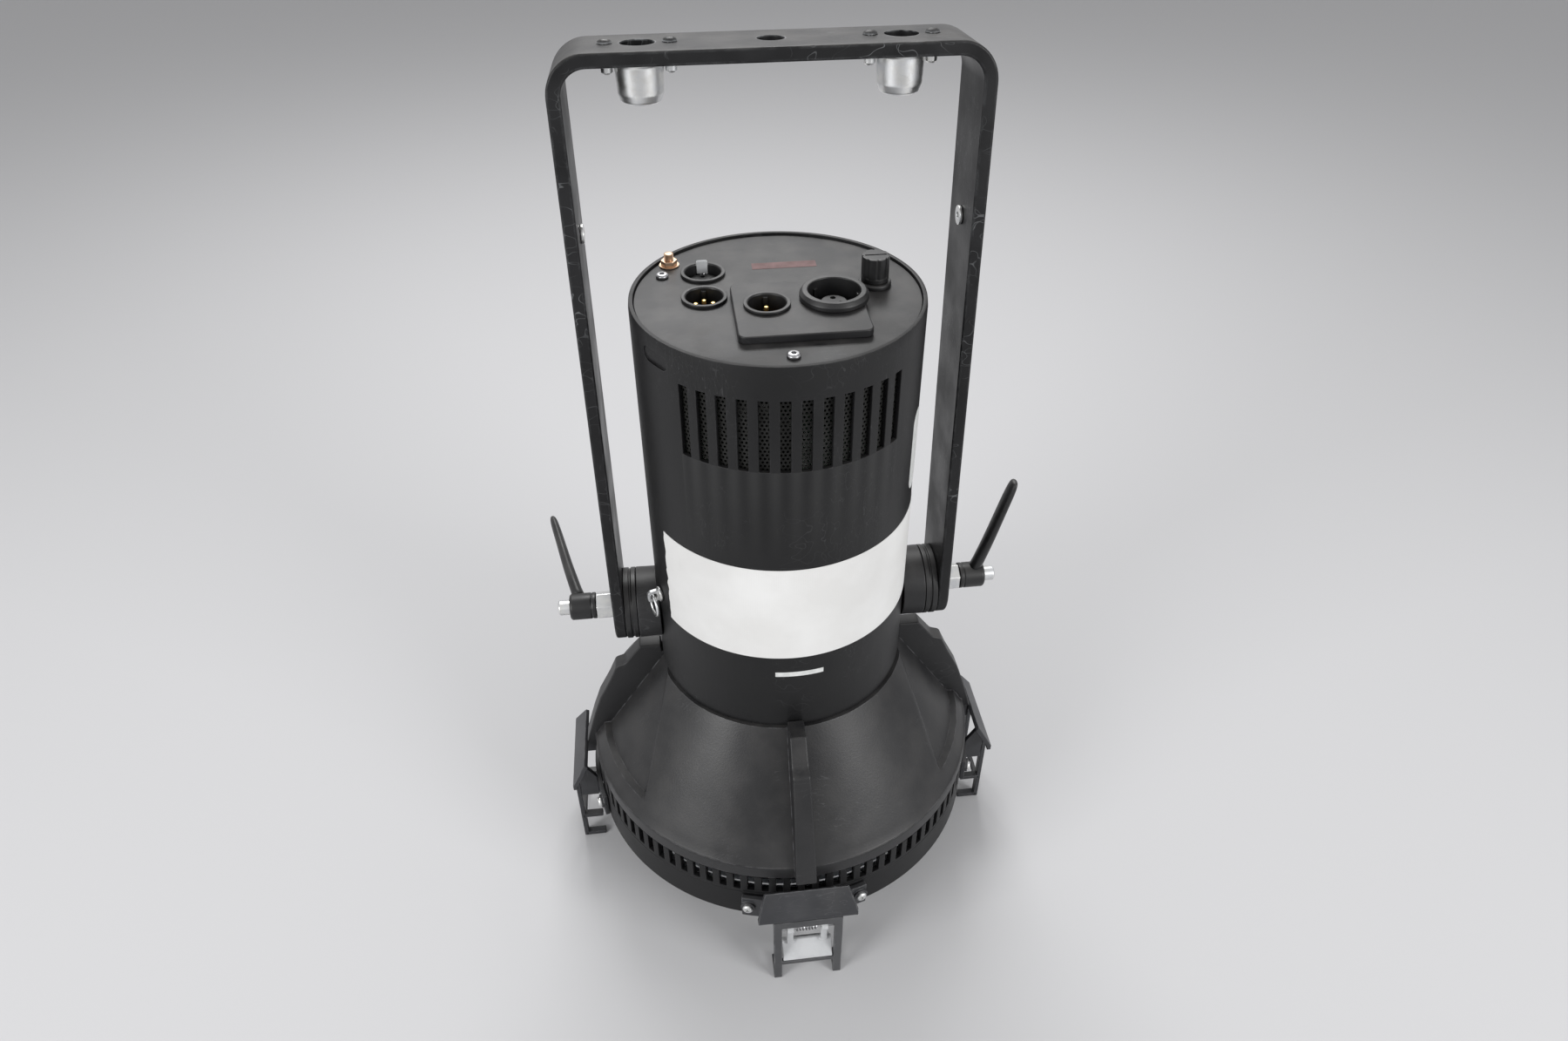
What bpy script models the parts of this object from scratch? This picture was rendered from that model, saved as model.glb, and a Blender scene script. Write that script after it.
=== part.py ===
# LED theatre spotlight, standing on its four accessory holders with the lens down.
# Metres, +Z up, the origin on the table under the middle of the lens; -Y is the latch side.
import math

import bmesh
import bpy
from mathutils import Matrix, Vector

for item in list(bpy.data.objects):
    bpy.data.objects.remove(item, do_unlink=True)

# Driving dimensions
GAP = 0.0003
PIVOT_HEIGHT = 0.199
TUBE_RADIUS = 0.075
TUBE_WALL = 0.0025
TUBE_BOTTOM = 0.160
TUBE_TOP = 0.400
PANEL_TOP = 0.3985
PANEL_THICKNESS = 0.0025
VENT_PITCH = math.radians(7.9)
VENT_WIDTH = 0.0052
VENT_BOTTOM = 0.342
VENT_TOP = 0.382
VENTS_PER_SIDE = 12
POCKET_AZIMUTH = -58
POCKET_HEIGHT = 0.389
POCKET_DEPTH = 0.0012
CONE_TOP_RADIUS = 0.077
CONE_WALL = 0.003
RIM_RADIUS = 0.125
RIM_TOP = 0.089
RIM_BOTTOM = 0.081
RIM_LEDGE = 0.0905
FLAT_AT_TOP = 0.0735
FLAT_SPREAD = 0.33
FLAT_FOOT = 0.0994
FLAT_BLEND = 0.0012
RIB_TOP = 0.1675
RIB_BOTTOM = 0.0822
RIB_HALF_TOP = 0.0038
RIB_HALF_BOTTOM = 0.0063
COMB_TEETH = 90
COMB_BOTTOM = 0.0643
COMB_FLOOR = 0.0665
RING_WALL = 0.0035
RING_BOTTOM = 0.041
RING_LIP_RADIUS = 0.112
GLASS_BOTTOM = 0.050
GLASS_THICKNESS = 0.004
REFLECTOR_MOUTH = 0.1120
REFLECTOR_THROAT = 0.0270
REFLECTOR_LOW = 0.0572
REFLECTOR_HIGH = 0.1700
REFLECTOR_WALL = 0.0012
LED_BOARD_LOW = 0.1738
HEAT_SINK_LOW = 0.1757
HEAT_SINK_BASE = 0.1835
FINS = 20
FIN_TOP = 0.2480
FAN_LOW = 0.2520
FAN_HIGH = 0.2770
FAN_BLADES = 7
POST_CIRCLE = 0.0635
BOARD_LOW = 0.3000
BOARD_THICKNESS = 0.0016
HOLDER_REACH = 0.142
HOLDER_HALF = 0.021
EAR_AZIMUTH = 15.6
EAR_HEIGHT = 0.0545
FOOT_AZIMUTH = 17.5
YOKE_LEAN = math.radians(4.12)
YOKE_HALF = 0.1015
YOKE_THICKNESS = 0.0066
YOKE_BAR = 0.042
YOKE_HEIGHT = 0.3156
YOKE_BEND = 0.0153
PIVOT_DISC = 0.0215
PIVOT_BOLT = 0.004
RECEPTACLE_X = 0.060
RIVET_SPREAD = 0.0145
CLAMP_HOLE = 0.0065
INSERT_HEIGHT = 0.230
LEVER_ANGLE_RIGHT = 0.0
LEVER_ANGLE_LEFT = math.radians(77)
LATCH_PIN_Y = -0.1370
LATCH_PIN_Z = 0.047
LUG_AZIMUTH = -73
LUG_HEIGHT = 0.2240
LUG_REACH = 0.0800
LUG_BORE = 0.0020
RING_MAJOR = 0.0065
RING_MINOR = 0.0009

TAU = 2 * math.pi
TO_X = Matrix.Rotation(math.pi / 2, 4, "Y")
TO_FRONT = Matrix.Rotation(math.pi / 2, 4, "X")


# Materials
def finish(name, colour, roughness, metallic=0.0):
    material = bpy.data.materials.new(name)
    material.use_nodes = True
    shader = material.node_tree.nodes["Principled BSDF"]
    shader.inputs["Base Color"].default_value = (*colour, 1)
    shader.inputs["Roughness"].default_value = roughness
    shader.inputs["Metallic"].default_value = metallic
    material.diffuse_color = (*colour, 1)
    return material


BLACK_COAT = finish("black_powder_coat", (0.022, 0.022, 0.024), 0.5)
BLACK_PLASTIC = finish("black_plastic", (0.018, 0.018, 0.02), 0.45)
BLACK_RUBBER = finish("black_rubber", (0.015, 0.015, 0.015), 0.8)
ZINC = finish("bright_zinc", (0.72, 0.72, 0.70), 0.3, 1.0)
STEEL = finish("steel", (0.55, 0.55, 0.56), 0.35, 1.0)
ALUMINIUM = finish("aluminium", (0.65, 0.66, 0.68), 0.35, 1.0)
MIRROR = finish("polished_reflector", (0.85, 0.86, 0.88), 0.12, 1.0)
GLASS = finish("glass", (0.85, 0.9, 0.9), 0.05)
GOLD = finish("gold_plate", (0.83, 0.60, 0.22), 0.25, 1.0)
BRASS = finish("brass", (0.70, 0.52, 0.25), 0.35, 1.0)
BOARD = finish("circuit_board", (0.03, 0.16, 0.07), 0.5)
PHOSPHOR = finish("led_phosphor", (0.85, 0.70, 0.20), 0.6)
GREY_TAB = finish("grey_latch", (0.30, 0.31, 0.32), 0.4)


# Shapes
def turned(profile, steps, closed=True, matrix=Matrix()):
    """Spins a profile of (radius, height) points once around the Z axis."""
    shape = bmesh.new()
    points = [shape.verts.new((radius, 0, height)) for radius, height in profile]
    edges = [shape.edges.new(pair) for pair in zip(points, points[1:])]
    if closed:
        edges.append(shape.edges.new((points[-1], points[0])))
    bmesh.ops.spin(shape, geom=points + edges, axis=(0, 0, 1), cent=(0, 0, 0),
                   angle=TAU, steps=steps, use_merge=True)
    bmesh.ops.remove_doubles(shape, verts=shape.verts, dist=1e-6)
    bmesh.ops.recalc_face_normals(shape, faces=shape.faces)
    shape.transform(matrix)
    return shape


def ring(inner, outer, low, high, steps, matrix=Matrix()):
    return turned([(inner, low), (outer, low), (outer, high), (inner, high)], steps, True, matrix)


def rod(radius, low, high, steps, matrix=Matrix()):
    """A round bar along Z from low to high."""
    return turned([(0, low), (radius, low), (radius, high), (0, high)], steps, False, matrix)


def extruded(outline, low, high, matrix=Matrix(), edge=0.0):
    """A plate with the outline's (x, y) points, from z = low to high, its top edge bevelled."""
    shape = bmesh.new()
    face = shape.faces.new([shape.verts.new((x, y, low)) for x, y in outline])
    grown = bmesh.ops.extrude_face_region(shape, geom=[face])["geom"]
    top = [item for item in grown if isinstance(item, bmesh.types.BMVert)]
    bmesh.ops.translate(shape, verts=top, vec=(0, 0, high - low))
    bmesh.ops.recalc_face_normals(shape, faces=shape.faces)
    if edge:
        rims = [item for item in grown if isinstance(item, bmesh.types.BMEdge)]
        bmesh.ops.bevel(shape, geom=rims, offset=edge, segments=1, affect="EDGES")
    shape.transform(matrix)
    return shape


def block(low, high, matrix=Matrix()):
    """A box between two opposite corners."""
    outline = [(low[0], low[1]), (high[0], low[1]), (high[0], high[1]), (low[0], high[1])]
    return extruded(outline, low[2], high[2], matrix)


def lofted(sections):
    """A closed skin over rings of points that all have the same count."""
    shape = bmesh.new()
    rings = [[shape.verts.new(point) for point in section] for section in sections]
    count = len(rings[0])
    for lower, upper in zip(rings, rings[1:]):
        for i in range(count):
            j = (i + 1) % count
            shape.faces.new((lower[i], lower[j], upper[j], upper[i]))
    shape.faces.new(rings[0])
    shape.faces.new(rings[-1])
    bmesh.ops.recalc_face_normals(shape, faces=shape.faces)
    return shape


def walled(angles, outer, inner, is_open, wraps=True):
    """A wall around the Z axis in columns between the angles and rows between the levels.

    outer and inner give each level's (radius, height), or a function of the angle that
    gives it; cells where is_open(column, row) holds are left out as through slots.
    """
    shape = bmesh.new()

    def skin(levels):
        rows = []
        for level in levels:
            at = level if callable(level) else (lambda angle, fixed=level: fixed)
            spots = [at(angle) for angle in angles]
            rows.append([shape.verts.new((r * math.cos(a), r * math.sin(a), z))
                         for a, (r, z) in zip(angles, spots)])
        return rows

    outside = skin(outer)
    inside = skin(inner)
    columns = len(angles) if wraps else len(angles) - 1
    rows = len(outer) - 1

    def filled(column, row):
        if not 0 <= row < rows or not (wraps or 0 <= column < columns):
            return False
        return not is_open(column % columns, row)

    for i in range(columns):
        j = (i + 1) % len(angles)
        for k in range(rows):
            if not filled(i, k):
                continue
            shape.faces.new((outside[k][i], outside[k][j], outside[k + 1][j], outside[k + 1][i]))
            shape.faces.new((inside[k][j], inside[k][i], inside[k + 1][i], inside[k + 1][j]))
            if not filled(i, k - 1):
                shape.faces.new((outside[k][j], outside[k][i], inside[k][i], inside[k][j]))
            if not filled(i, k + 1):
                shape.faces.new((outside[k + 1][i], outside[k + 1][j], inside[k + 1][j], inside[k + 1][i]))
            if not filled(i - 1, k):
                shape.faces.new((outside[k][i], outside[k + 1][i], inside[k + 1][i], inside[k][i]))
            if not filled(i + 1, k):
                shape.faces.new((outside[k + 1][j], outside[k][j], inside[k][j], inside[k + 1][j]))
    loose = [vert for vert in shape.verts if not vert.link_faces]
    bmesh.ops.delete(shape, geom=loose, context="VERTS")
    bmesh.ops.recalc_face_normals(shape, faces=shape.faces)
    return shape


def carved(base, added=(), cut=()):
    """base joined with the added shapes, less the cut ones."""
    work = []

    def as_object(shape):
        mesh = bpy.data.meshes.new("work")
        shape.to_mesh(mesh)
        shape.free()
        item = bpy.data.objects.new("work", mesh)
        bpy.context.scene.collection.objects.link(item)
        work.append(item)
        return item

    body = as_object(base)
    for shapes, operation in ((added, "UNION"), (cut, "DIFFERENCE")):
        for shape in shapes:
            modifier = body.modifiers.new(operation.lower(), "BOOLEAN")
            modifier.operation = operation
            modifier.solver = "EXACT"
            modifier.object = as_object(shape)
    result = bmesh.new()
    result.from_object(body, bpy.context.evaluated_depsgraph_get())
    for item in work:
        mesh = item.data
        bpy.data.objects.remove(item, do_unlink=True)
        bpy.data.meshes.remove(mesh)
    bmesh.ops.remove_doubles(result, verts=result.verts, dist=2e-6)
    bmesh.ops.dissolve_degenerate(result, edges=result.edges, dist=2e-6)
    return result


def part(name, shape, material, parent=None):
    """One named sub-part, under the empty on its joint's axis if it has one."""
    mesh = bpy.data.meshes.new(name)
    shape.to_mesh(mesh)
    shape.free()
    mesh.shade_smooth()
    mesh.set_sharp_from_angle(angle=math.radians(32))
    mesh.materials.append(material)
    item = bpy.data.objects.new(name, mesh)
    bpy.context.scene.collection.objects.link(item)
    item.parent = parent
    return item


def axis_empty(name, location, rotation=(0, 0, 0), parent=None):
    item = bpy.data.objects.new(name, None)
    item.empty_display_size = 0.02
    item.location = location
    item.rotation_euler = rotation
    item.parent = parent
    bpy.context.scene.collection.objects.link(item)
    return item


def at(x, y, z=0.0):
    return Matrix.Translation((x, y, z))


def around(azimuth):
    """A turn about Z that brings the front, -Y, to the azimuth given in degrees."""
    return Matrix.Rotation(math.radians(azimuth), 4, "Z")


def sharp_angles(marks, widest):
    """The sorted angles around the full turn, with extra ones so that no step is too wide."""
    marks = sorted({round(mark % TAU, 6) for mark in marks})
    angles = []
    for start, end in zip(marks, marks[1:] + [marks[0] + TAU]):
        steps = max(1, math.ceil((end - start) / widest - 1e-6))
        angles += [start + (end - start) * i / steps for i in range(steps)]
    return angles


# Rear housing tube with a group of vent slots at the front and at the back
def vent_edges():
    half = VENT_WIDTH / TUBE_RADIUS / 2
    edges = []
    for side in (-math.pi / 2, math.pi / 2):
        for i in range(VENTS_PER_SIDE):
            middle = side + (i - (VENTS_PER_SIDE - 1) / 2) * VENT_PITCH
            edges.append((middle - half, middle + half))
    return edges


def housing_tube():
    slots = vent_edges()
    angles = sharp_angles([edge for slot in slots for edge in slot], math.radians(8))
    middles = [(start + end) / 2 % TAU for start, end in slots]
    inner_radius = TUBE_RADIUS - TUBE_WALL
    ledge = PANEL_TOP - PANEL_THICKNESS - GAP
    outer = [(TUBE_RADIUS, level) for level in (TUBE_BOTTOM + GAP, VENT_BOTTOM, VENT_TOP,
                                                ledge - 0.004, ledge - 0.001, ledge + 0.001)]
    outer.append((TUBE_RADIUS - 0.0008, TUBE_TOP))
    inner = [(inner_radius, level) for level in (TUBE_BOTTOM + GAP, VENT_BOTTOM, VENT_TOP, ledge - 0.004)]
    inner += [(inner_radius - 0.004, ledge), (inner_radius, ledge), (inner_radius, TUBE_TOP)]

    def is_slot(column, row):
        if row != 1:
            return False
        start, end = angles[column], angles[(column + 1) % len(angles)]
        middle = (start + ((end - start) % TAU) / 2) % TAU
        return any(abs((middle - slot + math.pi) % TAU - math.pi) < 1e-4 for slot in middles)

    pocket = extruded(obround(0.020, 0.008), -POCKET_DEPTH, 0.004,
                      around(POCKET_AZIMUTH) @ at(0, -TUBE_RADIUS, POCKET_HEIGHT) @ TO_FRONT)
    lug_hole = rod(0.0028, 0.068, 0.080, 12, around(LUG_AZIMUTH) @ at(0, 0, LUG_HEIGHT) @ TO_FRONT)
    part("housing_tube", carved(walled(angles, outer, inner, is_slot), cut=[pocket, lug_hole]), BLACK_COAT)


def obround(length, width, steps=6):
    """An outline with straight sides and round ends, centred, its length along X."""
    radius = width / 2
    reach = length / 2 - radius
    points = []
    for side, start in ((1, -math.pi / 2), (-1, math.pi / 2)):
        for i in range(steps + 1):
            angle = start + math.pi * i / steps
            points.append((side * reach + radius * math.cos(angle), radius * math.sin(angle)))
    return points


# Flared casting under the tube: a cone with flats beside the yoke, a full rim and four ribs
def full_cone(height):
    slope = (RIM_RADIUS - CONE_TOP_RADIUS) / (TUBE_BOTTOM - RIM_TOP)
    return CONE_TOP_RADIUS + slope * (TUBE_BOTTOM - height)


def cone_radius(angle, height, inset=0.0):
    """The radius where the full cone and the two flats meet in a small blend."""
    cone = full_cone(height) - inset
    flat = FLAT_AT_TOP + FLAT_SPREAD * (TUBE_BOTTOM - height) - inset
    facing = max(abs(math.cos(angle)), 1e-3)
    return -FLAT_BLEND * math.log(math.exp(-cone / FLAT_BLEND) + math.exp(-flat / facing / FLAT_BLEND))


def rib_outline(inner_edge):
    """The rib's side view, as (radius, height), around a given inner edge."""
    outer_edge = [(0.0760, RIB_TOP), (0.0876, RIB_TOP), (0.1016, 0.1510), (0.1100, 0.1380),
                  (0.1185, 0.1220), (0.1235, 0.1080), (0.1290, 0.0900), (0.1312, RIB_BOTTOM)]
    return outer_edge + inner_edge


def rib(azimuth, inner_edge):
    outline = rib_outline(inner_edge)

    def half_width(height):
        rise = (height - RIB_BOTTOM) / (RIB_TOP - RIB_BOTTOM)
        return RIB_HALF_BOTTOM + (RIB_HALF_TOP - RIB_HALF_BOTTOM) * rise

    sides = [[(side * half_width(z), -r, z) for r, z in outline] for side in (-1, 1)]
    shape = lofted(sides)
    shape.transform(around(azimuth))
    return shape


def cone_housing():
    count = 64
    angles = [TAU * i / count for i in range(count)]
    heights = [TUBE_BOTTOM, 0.138, 0.118]
    under_foot = FLAT_FOOT - 0.0026

    def tapered(height, inset):
        return lambda angle: (cone_radius(angle, height, inset), height)

    outer = [tapered(height, 0.0) for height in heights + [FLAT_FOOT + 0.0006]]
    outer += [(full_cone(FLAT_FOOT), FLAT_FOOT), (RIM_RADIUS - 0.0010, RIM_LEDGE),
              (RIM_RADIUS, RIM_LEDGE - 0.001), (RIM_RADIUS, RIM_BOTTOM)]
    inner = [tapered(height, CONE_WALL) for height in heights + [under_foot]]
    inner.append((full_cone(under_foot - 0.0006) - CONE_WALL, under_foot - 0.0006))
    inner += [(RIM_RADIUS - RING_WALL, height) for height in (0.0897, 0.0850, RIM_BOTTOM)]
    casting = walled(angles, outer, inner, lambda column, row: False)
    on_cone = [(0.1235, RIB_BOTTOM), (0.1215, 0.0910), (0.0925, 0.1340), (0.0758, 0.1590)]
    on_flat = [(0.1235, RIB_BOTTOM), (0.1235, 0.0890), (0.1194, 0.0950), (0.1165, 0.0980), (0.0930, 0.0980),
               (0.0810, 0.1320), (0.0722, 0.1590), (0.0756, 0.1596)]
    ribs = [rib(azimuth, on_cone if azimuth in (0, 180) else on_flat) for azimuth in (0, 90, 180, 270)]
    part("cone_housing", carved(casting, added=ribs), BLACK_COAT)


# Comb of vent teeth between the rim and the front ring
def vent_comb():
    angles = [TAU * i / (2 * COMB_TEETH) for i in range(2 * COMB_TEETH)]
    outer_radius = RIM_RADIUS
    inner_radius = RIM_RADIUS - RING_WALL
    levels = (COMB_BOTTOM, COMB_FLOOR, RIM_BOTTOM - GAP)
    outer = [(outer_radius, level) for level in levels]
    inner = [(inner_radius, level) for level in levels]
    comb = walled(angles, outer, inner, lambda column, row: row == 1 and column % 2 == 1)
    part("vent_comb", comb, BLACK_COAT)


def front_ring():
    outer, inner = RIM_RADIUS, RIM_RADIUS - RING_WALL
    top = COMB_BOTTOM - GAP
    lip = RING_BOTTOM + 0.003
    profile = [(outer - 0.001, RING_BOTTOM), (outer, RING_BOTTOM + 0.001), (outer, top), (inner, top),
               (inner, lip + 0.003), (RING_LIP_RADIUS, lip + 0.003), (RING_LIP_RADIUS, lip),
               (inner - 0.001, lip - 0.0015), (inner - 0.001, RING_BOTTOM)]
    part("front_ring", turned(profile, 60), BLACK_COAT)


# Light path, from the front glass to the LED array
def light_path():
    room = RIM_RADIUS - RING_WALL - GAP
    seat = RING_BOTTOM + 0.006 + GAP
    seal = ring(RING_LIP_RADIUS + 0.001, room - 0.001, seat, GLASS_BOTTOM - GAP, 24)
    part("glass_seal", seal, BLACK_RUBBER)
    glass_top = GLASS_BOTTOM + GLASS_THICKNESS
    glass = rod(room - 0.0006, GLASS_BOTTOM, glass_top, 40)
    part("front_glass", glass, GLASS)
    retainer = turned([(0.1135, glass_top + GAP), (room, glass_top + GAP), (room, 0.0605),
                       (room - 0.002, 0.0605), (room - 0.002, 0.0565), (0.1135, 0.0565)], 40)
    part("glass_retainer", retainer, ALUMINIUM)

    low, high = REFLECTOR_LOW, REFLECTOR_HIGH
    heights = [low + (high - low) * i / 3 for i in range(4)]

    def bowl(height):
        rise = (high - height) / (high - low)
        return REFLECTOR_THROAT + (REFLECTOR_MOUTH - REFLECTOR_THROAT) * rise ** 0.8

    inside = [(bowl(height), height) for height in heights]
    outside = [(bowl(height) + REFLECTOR_WALL, height) for height in reversed(heights)]
    flange_radius = REFLECTOR_THROAT + 0.008
    flange = [(REFLECTOR_THROAT, high + 0.0015), (flange_radius, high + 0.0015), (flange_radius, high + GAP)]
    part("reflector", turned(inside + flange + outside, 28), MIRROR)
    part("led_board", rod(0.034, LED_BOARD_LOW, LED_BOARD_LOW + BOARD_THICKNESS, 24), BOARD)
    dome = [(0, 0.1675), (0.012, 0.1683), (0.020, 0.1708), (0.0220, 0.1735), (0, 0.1735)]
    part("led_array", turned(dome, 20, False), PHOSPHOR)


# Cooling: finned heat sink over the LED board and an axial fan above it
def cooling():
    root, tip, half = 0.022, 0.058, 0.0010
    outline = []
    for i in range(FINS):
        turn = TAU * i / FINS
        for radius, side in ((root, -1), (tip, -1), (tip, 1), (root, 1)):
            angle = turn + side * half / radius
            outline.append((radius * math.cos(angle), radius * math.sin(angle)))
    fin_block = extruded(outline, HEAT_SINK_BASE - 0.001, FIN_TOP)
    base = rod(0.0685, HEAT_SINK_LOW, HEAT_SINK_BASE, 36)
    part("heat_sink", carved(base, added=[fin_block]), ALUMINIUM)

    low, high = FAN_LOW, FAN_HIGH
    guard = turned([(0.0545, low), (0.0570, low), (0.0570, 0.2560), (0.0685, 0.2560), (0.0685, 0.2600),
                    (0.0570, 0.2600), (0.0570, high), (0.0545, high)], 28)
    struts = [block((0, -0.0020, low), (0.0555, 0.0020, low + 0.003), around(120 * i)) for i in range(3)]
    hub = rod(0.0150, low, low + 0.0045, 16)
    spindle = rod(0.0020, low + 0.003, high - 0.004, 6)
    posts = [(POST_CIRCLE * math.cos(a), POST_CIRCLE * math.sin(a)) for a in
             (math.radians(45 + 90 * i) for i in range(4))]
    holes = [rod(0.0034, 0.2500, 0.2650, 8, at(x, y)) for x, y in posts]
    part("fan_frame", carved(guard, added=[hub, spindle] + struts, cut=holes), BLACK_PLASTIC)

    spin_axis = axis_empty("fan_axis", (0, 0, 0.2650))
    blades = []
    for i in range(FAN_BLADES):
        sections = []
        for radius, pitch in ((0.0150, 42), (0.0340, 33), (0.0498, 25)):
            tilt = math.radians(pitch)
            along = Vector((0, math.cos(tilt), math.sin(tilt))) * radius * 0.34
            across = Vector((0, -math.sin(tilt), math.cos(tilt))) * 0.0006
            middle = Vector((radius, 0, 0.0010))
            sections.append([middle + along + across, middle - along + across,
                             middle - along - across, middle + along - across])
        blade = lofted(sections)
        blade.transform(Matrix.Rotation(TAU * i / FAN_BLADES, 4, "Z"))
        blades.append(blade)
    hub_shell = rod(0.0165, -0.0075, 0.0110, 20)
    spindle_bore = rod(0.0025, -0.010, 0.0090, 8)
    part("fan_rotor", carved(hub_shell, added=blades, cut=[spindle_bore]), BLACK_PLASTIC, spin_axis)

    for i, (x, y) in enumerate(posts):
        post = rod(0.0030, HEAT_SINK_BASE + GAP, BOARD_LOW - GAP, 8, at(x, y))
        part(f"spacer_post_{i + 1}", post, STEEL)


def driver():
    board_high = BOARD_LOW + BOARD_THICKNESS
    part("driver_board", rod(0.0680, BOARD_LOW, board_high, 32), BOARD)
    seat = board_high + GAP
    core = block((-0.030, -0.018, seat), (0.002, 0.014, seat + 0.024))
    winding = block((-0.034, -0.010, seat + 0.004), (0.006, 0.006, seat + 0.020))
    part("driver_transformer", carved(core, added=[winding]), BLACK_PLASTIC)


def vent_screens():
    """Plain curved sheets behind the two groups of slots."""
    outer = TUBE_RADIUS - TUBE_WALL - GAP
    for name, side in (("vent_screen_front", -math.pi / 2), ("vent_screen_back", math.pi / 2)):
        reach = math.radians(51)
        angles = [side - reach + 2 * reach * i / 16 for i in range(17)]
        sheet = walled(angles, [(outer, 0.3370), (outer, 0.3870)],
                       [(outer - 0.0008, 0.3370), (outer - 0.0008, 0.3870)],
                       lambda column, row: False, wraps=False)
        part(name, sheet, STEEL)


# Rear panel and what is mounted in it
DATA_IN = (-0.0370, 0.0)
DATA_OUT = (-0.0360, 0.0280)
CONTROL = (-0.0075, -0.0190)
INLET = (0.0260, -0.0150)
FUSE = (0.0500, 0.0050)
EARTH = (-0.0530, 0.0400)
SCREW_CIRCLE = 0.063
PANEL_SCREWS = [(SCREW_CIRCLE * math.sin(a), -SCREW_CIRCLE * math.cos(a))
                for a in map(math.radians, (0, 115, 245))]
SOCKET_RADIUS = 0.0106
SOCKET_FLANGE = 0.0116
SOCKET_BORE = 0.0093
SOCKET_DEPTH = 0.015
INLET_BARREL = 0.0147
FUSE_BARREL = 0.0065
PLATE_TOP = PANEL_TOP + GAP + 0.004


def rear_panel():
    low = PANEL_TOP - PANEL_THICKNESS
    disc = rod(TUBE_RADIUS - TUBE_WALL - GAP, low, PANEL_TOP, 56)
    openings = [(DATA_IN, SOCKET_RADIUS), (DATA_OUT, SOCKET_RADIUS), (CONTROL, SOCKET_RADIUS),
                (INLET, INLET_BARREL), (FUSE, FUSE_BARREL)]
    cuts = [rod(radius + GAP, low - 0.002, PANEL_TOP + 0.002, 20, at(*spot)) for spot, radius in openings]
    cuts += [rod(0.0020, low - 0.002, PANEL_TOP + 0.002, 8, at(*spot)) for spot in PANEL_SCREWS]
    cuts.append(rod(0.0030, low - 0.002, PANEL_TOP + 0.002, 8, at(*EARTH)))
    part("rear_panel", carved(disc, cut=cuts), BLACK_COAT)
    for i, (x, y) in enumerate(PANEL_SCREWS):
        head = turned([(0, -0.009), (0.0016, -0.009), (0.0016, 0), (0.0033, 0), (0.0033, 0.0011),
                       (0.0023, 0.0020), (0, 0.0020)], 10, False)
        screw = carved(head, cut=[rod(0.0014, 0.0007, 0.004, 6)])
        screw.transform(at(x, y, PANEL_TOP + GAP))
        part(f"panel_screw_{i + 1}", screw, ZINC)


def connector_plate():
    corners = [(-0.020, -0.046), (0.036, -0.046), (0.036, 0.0015), (-0.020, 0.0015)]
    outline = []
    for i, (x, y) in enumerate(corners):
        for k in range(4):
            angle = math.pi + math.pi / 2 * (i + k / 3)
            outline.append((x + 0.004 * math.cos(angle), y + 0.004 * math.sin(angle)))
    low = PANEL_TOP + GAP
    plate = extruded(outline, low, PLATE_TOP, edge=0.0010)
    cuts = [rod(SOCKET_RADIUS + GAP, low - 0.002, PLATE_TOP + 0.002, 20, at(*CONTROL)),
            rod(INLET_BARREL + 0.0004, low - 0.002, PLATE_TOP + 0.002, 20, at(*INLET))]
    part("connector_plate", carved(plate, cut=cuts), BLACK_COAT)


def socket_shell(seat):
    """A round socket body that hangs from a thin flange seated at the height given."""
    floor = seat - SOCKET_DEPTH
    top = seat + 0.0014
    return turned([(0, floor - 0.002), (SOCKET_RADIUS, floor - 0.002), (SOCKET_RADIUS, seat),
                   (SOCKET_FLANGE, seat), (SOCKET_FLANGE, top), (SOCKET_BORE, top), (SOCKET_BORE, floor),
                   (0, floor)], 20, False)


def contacts(count, circle, seat, spot):
    """Contact pins standing on a thin carrier at the bottom of a socket."""
    floor = seat - SOCKET_DEPTH + GAP
    pins = []
    for i in range(count):
        angle = math.pi / 2 + TAU * i / count
        pins.append(rod(0.0012, floor + 0.0006, floor + 0.0095, 6,
                        at(circle * math.cos(angle), circle * math.sin(angle))))
    shape = carved(rod(SOCKET_BORE - 0.0006, floor, floor + 0.0012, 16), added=pins)
    shape.transform(at(*spot))
    return shape


def sockets():
    panel_seat = PANEL_TOP + GAP
    plate_seat = PLATE_TOP + GAP
    for name, spot, seat, pins, circle in (("data_in", DATA_IN, panel_seat, 5, 0.0046),
                                           ("control_in", CONTROL, plate_seat, 3, 0.0042)):
        shell = socket_shell(seat)
        shell.transform(at(*spot))
        part(name + "_socket", shell, BLACK_PLASTIC)
        part(name + "_contacts", contacts(pins, circle, seat, spot), GOLD)

    # The outlet holds a solid insert with five contact holes, and its release tab slides
    # in a groove at the back of the flange.
    shell = socket_shell(panel_seat)
    insert = rod(0.0080, panel_seat - SOCKET_DEPTH - 0.001, panel_seat - 0.0055, 16)
    holes = []
    for i in range(5):
        angle = math.radians(90 + 72 * i)
        holes.append(rod(0.0013, panel_seat - 0.0115, panel_seat - 0.004, 6,
                         at(0.0046 * math.cos(angle), 0.0046 * math.sin(angle))))
    tab_slot = block((-0.0033, 0.0070, panel_seat - 0.0062), (0.0033, 0.0150, panel_seat + 0.003))
    outlet = carved(shell, added=[insert], cut=holes + [tab_slot])
    outlet.transform(at(*DATA_OUT))
    part("data_out_socket", outlet, BLACK_PLASTIC)


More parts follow.
